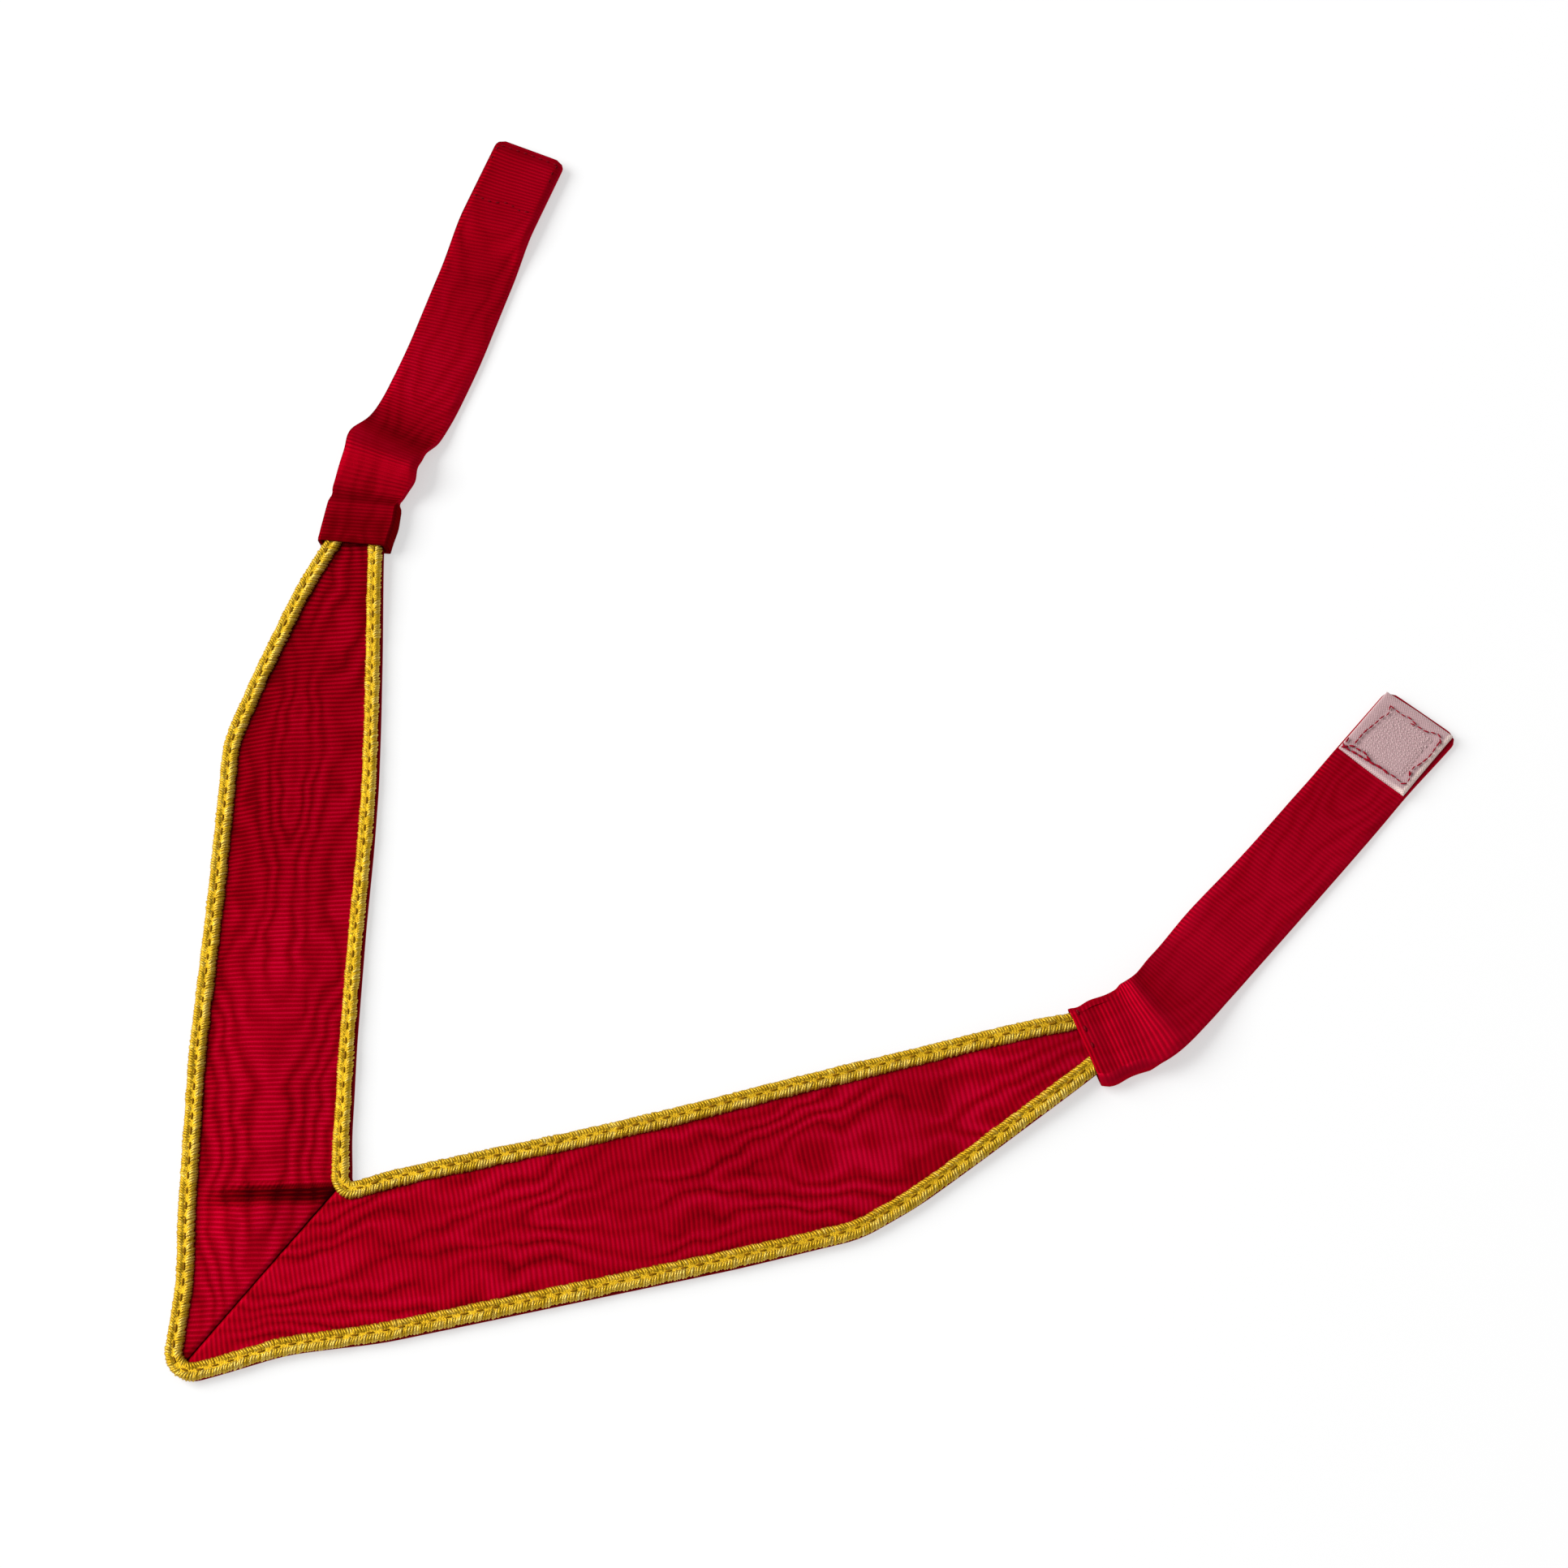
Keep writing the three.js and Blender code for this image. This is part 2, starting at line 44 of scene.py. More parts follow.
# Arms
RIBBON_WIDTH = 50.8
HALF_SPREAD = math.radians(79 / 2)
TIP_RADIUS = 9.7
THROAT_RADIUS = 2.0
BEND_EASE = 6.0
CLOTH = 1.0
GAP = 0.3
BRAID_WIDTH = 5.4
BRAID_HEIGHT = 1.4
BRAID_OVERHANG = 0.3
RIBBON_UNDER_BRAID = 1.2
ARM_INSERT = 12.0
ARM_RISE = 45.0
ARM_SEAT = 6.0

# Step in the left ribbon, where the seam's turned cloth ends beneath it: its place along the
# arm, and from that place the valley behind it and the band of painted shadow across it.
CREASE_PLACE = -3.5
CREASE_HEIGHT = 0.7
CREASE_RAMP = 4.4
VALLEY_PLACE, VALLEY_SPREAD, VALLEY_DEPTH = 1.6, 1.1, 0.35
SHADOW_START, SHADOW_FULL, SHADOW_FADE, SHADOW_END = -5.0, -1.6, 1.3, 2.5
SHADOW_DEPTH = 0.95

# The ribbons' relief: a swell and ripples between the braids, and a dip at the mitre seam
RIBBON_SWELL = 0.16
RIPPLE_HEIGHT = 0.14
SEAM_DIP, SEAM_SPREAD = 0.45, 0.7
RIB_BOW = 1.5
# Painted light on the ribbons: the reach of the painted shade beside the outer braid,
# then for each arm that shade's depth, and how much the painted light changes along the
# arm, with the start and end of the change.
BRAID_SHADE_REACH = 1.5
RIBBON_PAINTED_LIGHT = {"left": (0.42, -0.22, 40, 200), "right": (0.16, 0.12, 110, 220)}

# The lining's rounded edge, and how far it shows past the right arm's outer braid
LINING_ROUND, LINING_ROUND_REACH = 0.42, 0.5
LINING_PAST = 0.45

# The braid's two cords and the sewing in the groove between them. The cords are twisted
# opposite ways. On each side one cord carries a painted gleam, the other painted shade.
CORD_PLACES = (0.25, 0.75)
CORD_RADIUS = 1.10
CORD_PAINTED_GLEAM, CORD_PAINTED_DULL = 0.26, -0.16
THREAD_RADIUS = 0.46
THREAD_PITCH = 0.86
GROOVE_HEIGHT = 0.84
GROOVE_STITCH, GROOVE_PITCH, GROOVE_THREAD = 2.6, 4.8, 0.34

# Straps
STRAP_WIDTH = 26.2
STRAP_THICKNESS = 2.4
STRAP_CORNER = 3.0
MOUTH_HEADING = math.radians(29.5)
POCKET_DEPTH = 15.0
SLEEVE_CLOTH = 0.7
END_SKEW_SPAN = 30.0
ROLLED_EDGE = 1.55
SPARE_CLOTH = 0.7
FLAT_STEPS = 39
WALL_STEPS = 8
# The straps' relief: the rise in from their sides, a slow wave, and at the sleeve's mouth
# a hem's sewn groove and a rounded rim, darkened with painted shade.
CROWN_REACH = 2.4
WAVE_HEIGHT = 0.16
HEM_PLACE, HEM_SPREAD, HEM_DEPTH = 2.5, 0.55, 0.24
RIM_ROUND, RIM_REACH, RIM_SHADE = 0.5, 0.9, 0.35
# The sleeve's pocket inside is darkened with painted shade.
INSIDE_SHADE = -0.2

# Hook-and-loop squares. The tape is thinner than its solid.
PAD_SIZE = 25.0
PAD_THICKNESS = 2.0
PAD_RAMP = 24.0
PAD_SPARE = 0.8
PAD_TRIM = 0.2
PAD_STEPS = 41
SEAM_GROOVE_PLACE, SEAM_GROOVE_SPREAD, SEAM_GROOVE_DEPTH = 0.68, 0.05, 0.22
HOOK_ROWS = 15
HOOK_RADIUS = 0.34
HOOK_WIRE = 0.17
HOOK_LEVEL = 0.95

# Weave
RIB_PITCH = 1.556
STRAP_RIB_PITCH = 1.3

MITRE_LENGTH = RIBBON_WIDTH / math.sin(HALF_SPREAD)
THROAT = np.array([0.0, MITRE_LENGTH / 2])
# The inner braid is drawn aside at the throat.
THROAT_PULL = np.array([2.0, 0.3])
THROAT_SPREAD = 12.0
# Heights of the layers, and of the sleeves round them.
STACK_RIBBON = CLOTH + GAP
STACK_BRAID = STACK_RIBBON + CLOTH + GAP
STACK_TOP = STACK_BRAID + BRAID_HEIGHT
SLEEVE_LIFT = CLOTH + GAP
POCKET_CEILING = SLEEVE_LIFT + STACK_TOP + GAP
SLEEVE_HEIGHT = POCKET_CEILING + CLOTH


def table(columns, rows):
    """Rows of a short table as one array for each named column. The last slope goes on."""
    rows = [list(row) for row in rows]
    last, before = rows[-1], rows[-2]
    reach = last[0] - before[0]
    rows.append([a + (a - b) / reach for a, b in zip(last, before)])
    rows[-1][0] = last[0] + 1
    return dict(zip(columns.split(), np.array(rows, float).T))


def column(rows, name, at):
    return np.interp(at, rows["at"], rows[name])


def eased(rows, name, at, span):
    """A column with its corners rounded over a span each way."""
    shifts = [(2 * (k + 0.5) / 9 - 1) * span for k in range(9)]
    return sum(column(rows, name, np.asarray(at) + shift) for shift in shifts) / 9


def smooth(x, low, high):
    t = np.clip((np.asarray(x, float) - low) / (high - low), 0, 1)
    return t * t * (3 - 2 * t)


# The edges: share of the way from the corner to the sleeve, distance from the V's inner
# line over the ribbon's width, and at the inner edge the lining that shows and the braid's
# width, both over the full braid width. They keep within half a millimetre of the solids.
EDGE_COLUMNS = "at out show braid"
EDGES = {
    ("left", "outer"): [
        (0, 1.04), (0.05, 1.035), (0.115, 1.006), (0.19, 1.033), (0.37, 1.055),
        (0.57, 1.022), (0.755, 1.008), (0.85, 0.828), (0.93, 0.642), (0.975, 0.524),
        (1, 0.445),
    ],
    ("left", "inner"): [
        (0, 0.015, 0.1, 1), (0.04, 0.008, 0.1, 0.95), (0.1, 0, 0.1, 0.88),
        (0.2, 0.006, 0.1, 0.86), (0.38, -0.004, 0.1, 0.86), (0.5, -0.021, 0.1, 0.86),
        (0.6, -0.025, 0.1, 0.86), (0.7, -0.013, 0.1, 0.86), (0.85, 0.014, 0.1, 0.86),
        (1, 0.035, 0.05, 0.86),
    ],
    ("right", "outer"): [
        (0, 1.04), (0.05, 1.035), (0.13, 1.0), (0.23, 1.048), (0.39, 1.062), (0.6, 1.079),
        (0.735, 1.076), (0.8, 0.955), (0.86, 0.8), (0.92, 0.644), (0.975, 0.5), (1, 0.43),
    ],
    ("right", "inner"): [
        (0, 0.015, 0.1, 1), (0.04, 0.014, 0.1, 1), (0.1, 0.022, 0.1, 1),
        (0.33, 0.036, 0.1, 1), (0.47, 0.032, 0.1, 1), (0.6, 0.012, 0.1, 1),
        (0.73, 0.004, 0.1, 1), (0.86, -0.006, 0.1, 1), (0.96, 0, 0.1, 1), (1, 0.014, 0.1, 1),
    ],
}

# The straps past their sleeves: share of the free length, turn in degrees, how much of the
# sleeve's shape is left, rise, and extra width inwards and outwards over the strap's width.
STRAP_COLUMNS = "at turn puff rise inner outer"
STRAPS = {
    "left": [
        (0, 0, 1, 0, 0.01, 0.031), (0.03, 5.2, 0.45, 0.02, 0.01, 0.015),
        (0.07, 10, 0.32, 0.13, 0.01, 0.01), (0.115, 14.2, 0.3, 0.2, 0.015, 0.01),
        (0.147, 17, 0.2, 0.15, 0.02, 0.01), (0.19, 16, 0.1, 0.06, 0.01, 0),
        (0.25, 13.6, 0, 0.02, 0, 0), (0.29, 12, 0, 0, 0, 0), (0.37, 11, 0, 0, 0, 0),
        (0.48, 7.4, 0, 0, 0, 0), (0.72, 8, 0, 0, 0, 0), (0.8, 10.5, 0, 0, 0, 0.01),
        (1, 11, 0, 0, 0, 0.01),
    ],
    "right": [
        (0, 0, 1, 0, 0.047, 0.05), (0.05, 12, 0.7, 0.06, 0.02, 0.034),
        (0.1, 20.5, 0.4, 0.07, 0.01, 0.01), (0.16, 27, 0.2, 0.04, 0, 0),
        (0.22, 28.2, 0.05, 0.02, 0, 0), (0.33, 27.2, 0, 0, 0, 0), (0.6, 27.4, 0, 0, 0, 0.01),
        (1, 27.4, 0, 0, 0, 0.02),
    ],
}

# Where the straps differ: extra width past the sleeve inwards and outwards, the sleeve's
# corner radius outside and inside, the seed of the cloth's waves, and the weave's number.
STRAP_TRAITS = {
    "left": {"extra": (0.9, 0.3), "corners": (1.2, 0.8), "seed": 5, "number": 3.0},
    "right": {"extra": (0.9, -0.5), "corners": (3.1, 2.3), "seed": 8, "number": 4.0},
}

# Small pulls in the straps' edges: distance from the mouth, way out, and spread.
TUCKS = {
    ("left", "inner"): [(9, 0.6, 5.0), (17.3, -0.5, 0.9), (28, 2.1, 5.0), (41.5, -1.4, 3.6)],
    ("left", "outer"): [(17.5, -0.8, 1.5), (32, -0.3, 3.0), (39, 2.5, 6.5)],
    ("right", "inner"): [(3, -1.0, 3.0), (12, -0.8, 5.0), (35, 0.7, 6.0), (56, 1.1, 18.0)],
    ("right", "outer"): [(0, -0.7, 1.2), (4, 1.1, 4.0), (19, 1.2, 9.0), (128, -0.5, 14.0)],
}

# Ridges and hollows across the straps: distance from the mouth, how much further at the
# outer edge than at the inner, height, spread before and after, fade towards outside,
# and the painted shade (below 0) or painted highlight on the cloth there.
FOLDS = {
    "left": [
        (6.0, 0.0, 0.0, 8.0, 7.0, 0.0, -0.30),
        (17.0, 0.5, -0.45, 1.6, 6.0, 0.4, -0.30),
        (36.5, 3.0, 0.35, 7.0, 2.0, 0.0, 0.18),
        (43.5, 3.0, -0.5, 3.0, 8.0, 0.2, -0.28),
        (66.0, -6.0, 0.35, 9.0, 7.0, 0.0, 0.05),
        (118.0, 8.0, -0.25, 5.0, 5.0, 0.0, -0.08),
    ],
    "right": [
        (8.0, -2.0, -0.35, 3.0, 3.0, 0.0, -0.07),
        (23.5, 1.0, 0.65, 4.0, 1.3, 0.4, 0.06),
        (27.0, 1.0, -0.35, 1.4, 6.0, 0.9, -0.30),
        (52.0, 10.0, 0.3, 8.0, 8.0, 0.0, 0.05),
    ],
}

# The squares on the straps: turn in degrees, then distance from the strap's end and
# sideways, both over the square's size. The hook square lies 1.4 mm off its solid.
PADS = {
    "left": {"turn": 2.0, "from_end": 0.1, "aside": 0.01},
    "right": {"turn": 0.5, "from_end": 0.025, "aside": -0.045},
}

# The hook square's sewing, as shares of its size from its corner by the mouth's inner
# side: once round, then the back-tack rows.
PAD_SEWING = [
    [(0.10, 0.22), (0.10, 0.44), (0.13, 0.53), (0.14, 0.69), (0.18, 0.77), (0.14, 0.84)],
    [(0.16, 0.86), (0.20, 0.86), (0.35, 0.85), (0.45, 0.88), (0.50, 0.86)],
    [(0.50, 0.83), (0.61, 0.84), (0.73, 0.85), (0.80, 0.91), (0.90, 0.88), (0.90, 0.84)],
    [(0.91, 0.80), (0.91, 0.68), (0.92, 0.60), (0.90, 0.46), (0.86, 0.36), (0.88, 0.27)],
    [(0.88, 0.27), (0.92, 0.19), (0.89, 0.10), (0.77, 0.12), (0.66, 0.11)],
    [(0.61, 0.12), (0.52, 0.12), (0.43, 0.10)],
    [(0.43, 0.10), (0.25, 0.09), (0.10, 0.08), (0.02, 0.06), (0.00, 0.17)],
    [(0.03, 0.08), (0.09, 0.15), (0.19, 0.15), (0.28, 0.16), (0.36, 0.12)],
]
BACK_TACKS = 3
# The sewing lies a little off the square's middle: across and along, in mm.
SEWING_OFF = (1.2, -0.7)

# Stitches at the left strap's end: distance from the end, and share across.
END_SEWING = [
    [(2.2, -0.80), (2.0, 0.0), (2.4, 0.76)],
    [(3.2, -0.86), (6.0, -0.84), (9.6, -0.86)],
    [(4.2, 0.86), (8.0, 0.88)],
    [(23.4, 0.84), (24.4, 0.45), (24.2, 0.2), (23.2, -0.1), (25.4, -0.5), (24.9, -0.66)],
]

# The braid's core in section: share across, and height over the braid's.
BRAID_CORE = [
    (0.04, 0.0), (0.02, 0.3), (0.08, 0.6), (0.25, 0.8), (0.42, 0.78), (0.5, 0.74),
    (0.58, 0.78), (0.75, 0.8), (0.92, 0.6), (0.98, 0.3), (0.96, 0.0),
]

# Studio
SKY_STRENGTH = 0.37
KEY_PLACE = (-5.0, -2.0, 4.6)
KEY_SIZE = 5.6
KEY_POWER = 690
FLOOR_REACH = 2.5
FLOOR_TONE = 0.42
FLOOR_GLOW = 0.552

# Camera, at the photograph's place. The view is turned about its own axis.
CAMERA_PLACE = Vector((393.80, -14.55, 911.72)) * MM
CAMERA_AIM = Vector((23.67, 222.73, 0)) * MM
CAMERA_LENS = 73.02
CAMERA_ROLL = math.radians(19.2)


def pulled(points):
    """Points near the throat, drawn aside with the inner braid."""
    far = np.linalg.norm(points - THROAT + [0, 2.0], axis=-1)
    return points + np.exp(-((far / THROAT_SPREAD) ** 2))[..., None] * THROAT_PULL


class Arm:
    """An arm, and its strap's free length, shift sideways and slant of the end."""

    def __init__(self, name, sign, length, free, aside, skew):
        self.name, self.sign, self.length = name, sign, length
        self.free, self.aside, self.skew = free, aside, math.radians(skew)
        self.along = np.array([sign * math.sin(HALF_SPREAD), math.cos(HALF_SPREAD)])
        self.out = np.array([sign * math.cos(HALF_SPREAD), -math.sin(HALF_SPREAD)])

    def lift(self, s):
        """How far the arm's end is raised, where it goes into its sleeve."""
        return SLEEVE_LIFT * smooth(s, self.length - ARM_RISE, self.length - ARM_SEAT)

    def weave(self, points):
        """Distances of points from the V's straight inner line and along the arm."""
        d = points - THROAT
        return d @ self.out, d @ self.along


LEFT = Arm("left", sign=-1, length=220.7, free=148.5, aside=-0.8, skew=6.5)
RIGHT = Arm("right", sign=1, length=229.0, free=136.8, aside=0.7, skew=0)


class Edge:
    """One edge of an arm, as a distance from the V's straight inner line."""

    def __init__(self, arm, which):
        self.arm, self.which = arm, which
        self.rows = table(EDGE_COLUMNS, EDGES[arm.name, which])
        self.radius = TIP_RADIUS if which == "outer" else THROAT_RADIUS
        corner_out = self.rows["out"][0] * RIBBON_WIDTH
        self.corner = -corner_out / math.tan(HALF_SPREAD)
        self.arc_end = -(corner_out - self.radius) / math.tan(HALF_SPREAD)
        self.arc_start = self.arc_end - self.radius * math.cos(HALF_SPREAD)
        self.run = arm.length - self.corner

    def read(self, name, s):
        at = (np.asarray(s, float) - self.corner) / self.run
        return eased(self.rows, name, at, BEND_EASE / self.run)

    def plain(self, s):
        return self.read("out", s) * RIBBON_WIDTH

    def point(self, s, inset):
        """Points of the edge at s, moved into the cloth by inset."""
        s = np.asarray(s, float)
        back = np.clip(self.arc_end - s, 0, None)
        drop = np.sqrt(np.maximum(self.radius**2 - back**2, 1e-9))
        out = self.plain(s) - self.radius + drop
        slope = self.plain(s + 0.5) - self.plain(s - 0.5) + back / drop
        normal = self.arm.out - slope[..., None] * self.arm.along
        normal /= np.linalg.norm(normal, axis=-1, keepdims=True)
        way = -1 if self.which == "outer" else 1
        inset = np.broadcast_to(inset, s.shape)[..., None]
        at = THROAT + self.arm.along * s[..., None] + self.arm.out * out[..., None]
        return at + way * inset * normal

    def stations(self, step, arc_steps=14):
        angles = np.linspace(HALF_SPREAD, math.pi / 2, arc_steps, endpoint=False)
        arc = self.arc_end - self.radius * np.cos(angles)
        end = self.arm.length + ARM_INSERT
        count = int((end - self.arc_end) / step)
        return np.concatenate([arc, np.linspace(self.arc_end, end, count + 1)])

    def wide(self, s):
        if self.which == "outer":
            return np.full(np.shape(s), BRAID_WIDTH)
        return self.read("braid", s) * BRAID_WIDTH


def through(halves):
    """Both arms' stations in one run, from the left arm's end round the point."""
    left, right = halves
    return np.concatenate([left[::-1], right[1:]])


def section_stations(arm, mitre_steps, arm_step):
    """Distances along the inner and the outer edge: from the mitre, swinging square."""
    inner, outer = Edge(arm, "inner"), Edge(arm, "outer")
    square = -outer.arc_start
    share = (np.arange(mitre_steps) / mitre_steps) ** 1.7
    a = inner.arc_start + (square - inner.arc_start) * share
    b = outer.arc_start + (square - outer.arc_start) * share
    end = arm.length + ARM_INSERT
    rest = np.linspace(square, end, int((end - square) / arm_step) + 1)
    return inner, outer, np.concatenate([a, rest]), np.concatenate([b, rest])


def add_mesh(name, points, faces, weave, material, sharp=None, shade=None):
    """A mesh object from millimetre points, with its cloth coordinates as an attribute."""
    mesh = bpy.data.meshes.new(name)
    mesh.from_pydata((np.asarray(points, float) * MM).tolist(), [], faces)
    layer = mesh.attributes.new("weave", "FLOAT_VECTOR", "POINT")
    layer.data.foreach_set("vector", np.asarray(weave, np.float32).ravel())
    # The shade attribute carries painted light and shade into the cloth's colour.
    if shade is not None:
        layer = mesh.attributes.new("shade", "FLOAT", "POINT")
        layer.data.foreach_set("value", np.asarray(shade, np.float32).ravel())
    mesh.validate()
    mesh.shade_smooth()
    if sharp is not None:
        mesh.set_sharp_from_angle(angle=math.radians(sharp))
    mesh.materials.append(material)
    return linked(name, mesh)


def loft(name, rings, weave, material, sharp=None, shade=None):
    """A closed body through rings of points, given as an array of rings, points and axes."""
    rings = np.asarray(rings, float)
    count, size = rings.shape[:2]
    index = np.arange(count * size).reshape(count, size)
    turned = np.roll(index, -1, axis=1)
    quads = np.stack([index[:-1], turned[:-1], turned[1:], index[1:]], axis=-1)
    faces = quads.reshape(-1, 4).tolist()
    faces.append(index[0][::-1].tolist())
    faces.append(index[-1].tolist())
    flat = rings.reshape(-1, 3)
    a, b, c, d = (flat[quads[..., k].ravel()] for k in range(4))
    if (a * (np.cross(b, c) + np.cross(c, d))).sum() < 0:
        faces = [face[::-1] for face in faces]
    weave = np.asarray(weave).reshape(-1, 3)
    return add_mesh(name, flat, faces, weave, material, sharp, shade)


def soft_noise(u, v, seed):
    """A smooth, repeatable wave field between about -1 and 1, for low folds in cloth."""
    rng = np.random.default_rng(seed)
    total = np.zeros(np.broadcast(u, v).shape)
    for _ in range(7):
        angle = rng.uniform(0, 2 * math.pi)
        rate = rng.uniform(0.5, 1.6)
        phase = rng.uniform(0, 2 * math.pi)
        total += np.sin((u * math.cos(angle) + v * math.sin(angle)) * rate + phase)
    return total / 4


def linked(name, data):
    obj = bpy.data.objects.new(name, data)
    bpy.context.scene.collection.objects.link(obj)
    return obj


def add_camera():
    data = bpy.data.cameras.new("camera")
    data.lens, data.sensor_width, data.clip_start = CAMERA_LENS, 36, 0.05
    ahead = (CAMERA_AIM - CAMERA_PLACE).normalized()
    right = ahead.cross(Vector((0, 0, 1))).normalized()
    up = right.cross(ahead)
    c, s = math.cos(CAMERA_ROLL), math.sin(CAMERA_ROLL)
    right, up = right * c - up * s, right * s + up * c
    turn = Matrix((right, up, -ahead)).transposed()
    obj = linked("camera", data)
    obj.matrix_world = Matrix.Translation(CAMERA_PLACE) @ turn.to_4x4()
    bpy.context.scene.camera = obj


def add_studio():
    scene = bpy.context.scene
    scene.view_settings.view_transform = "Standard"
    scene.world = bpy.data.worlds.new("studio")
    scene.world.use_nodes = True
    sky = scene.world.node_tree.nodes["Background"]
    sky.inputs["Color"].default_value = (1, 1, 1, 1)
    sky.inputs["Strength"].default_value = SKY_STRENGTH

    data = bpy.data.lights.new("key", "AREA")
    data.shape = "RECTANGLE"
    data.size = data.size_y = KEY_SIZE
    data.energy = KEY_POWER
    place = Vector(KEY_PLACE)
    turn = (Vector((0, 0.16, 0)) - place).to_track_quat("-Z", "Y").to_matrix()
    linked("key", data).matrix_world = Matrix.Translation(place) @ turn.to_4x4()

    # A white table lit from below, so that shadows stay pale.
    table_top = Surface("lit_table").finish(
        {
            "Base Color": (FLOOR_TONE,) * 3,
            "Emission Color": (1, 1, 1),
            "Emission Strength": FLOOR_GLOW,
            "Roughness": 0.9,
            "Specular IOR Level": 0.1,
        }
    )
    r = FLOOR_REACH
    mesh = bpy.data.meshes.new("floor")
    mesh.from_pydata([(-r, -r, 0), (r, -r, 0), (r, r, 0), (-r, r, 0)], [], [(0, 1, 2, 3)])
    mesh.materials.append(table_top)
    linked("floor", mesh)


class Nodes:
    """Short names for making the nodes of a tree and wiring them."""

    def __init__(self, tree):
        self.tree = tree

    def wire(self, value, socket):
        if isinstance(value, bpy.types.NodeSocket):
            self.tree.links.new(value, socket)
        else:
            socket.default_value = (*value, 1) if socket.type == "RGBA" else value

    def node(self, kind, inputs=None, out=0, **settings):
        """A new node's output. Its inputs are given by name or number."""
        made = self.tree.nodes.new(kind)
        for key, value in settings.items():
            setattr(made, key, value)
        for key, value in (inputs or {}).items():
            self.wire(value, made.inputs[key])
        return made.outputs[out]

    def math(self, operation, a, b=0.0, c=0.0):
        return self.node("ShaderNodeMath", {0: a, 1: b, 2: c}, operation=operation)

    def vector(self, x, y, z=0.0):
        return self.node("ShaderNodeCombineXYZ", {0: x, 1: y, 2: z})


class Surface(Nodes):
    """The nodes of one material."""

    def __init__(self, name):
        self.material = bpy.data.materials.new(name)
        self.material.use_nodes = True
        super().__init__(self.material.node_tree)

    def add(self, first, *others):
        for other in others:
            first = self.math("ADD", first, other)
        return first

    def sub(self, a, b):
        return self.math("SUBTRACT", a, b)

    def mul(self, a, b):
        return self.math("MULTIPLY", a, b)

    def mul_add(self, a, b, c):
        return self.math("MULTIPLY_ADD", a, b, c)

    def wave(self, phase):
        """0.5 + 0.5 cos of a phase counted in whole turns."""
        return self.mul_add(self.math("COSINE", self.mul(phase, 2 * math.pi)), 0.5, 0.5)

    def ramp(self, value, low, high, start=0.0, end=1.0):
        names = ("Value", "From Min", "From Max", "To Min", "To Max")
        inputs = dict(zip(names, (value, low, high, start, end)))
        return self.node("ShaderNodeMapRange", inputs, interpolation_type="SMOOTHSTEP")

    def mix(self, share, a, b):
        return self.node("ShaderNodeMix", {0: share, 6: a, 7: b}, 2, data_type="RGBA")

    def noise(self, place, scale, detail=2.0):
        inputs = {"Vector": place, "Scale": scale, "Detail": detail}
        return self.node("ShaderNodeTexNoise", inputs)

    def field(self, x, x_rate, y, y_rate, z=0.0, detail=2.0):
        """Noise over two cloth coordinates, each with its cells to the millimetre."""
        place = self.vector(self.mul(x, x_rate), self.mul(y, y_rate), z)
        return self.noise(place, 1.0, detail)

    def attribute(self, name, out):
        return self.node("ShaderNodeAttribute", out=out, attribute_name=name)

    def weave(self):
        """The cloth coordinates in millimetres: across, along, and a number for the piece."""
        inputs = {0: self.attribute("weave", "Vector")}
        return self.node("ShaderNodeSeparateXYZ", inputs).node.outputs[:3]

    def object_place(self):
        return self.node("ShaderNodeTexCoord", out="Object")

    def bump(self, height, distance, before=None):
        inputs = {"Height": height, "Distance": distance, "Strength": 1.0}
        if before is not None:
            inputs["Normal"] = before
        return self.node("ShaderNodeBump", inputs)

    def finish(self, inputs):
        shader = self.tree.nodes["Principled BSDF"]
        for key, value in inputs.items():
            self.wire(value, shader.inputs[key])
        return self.material


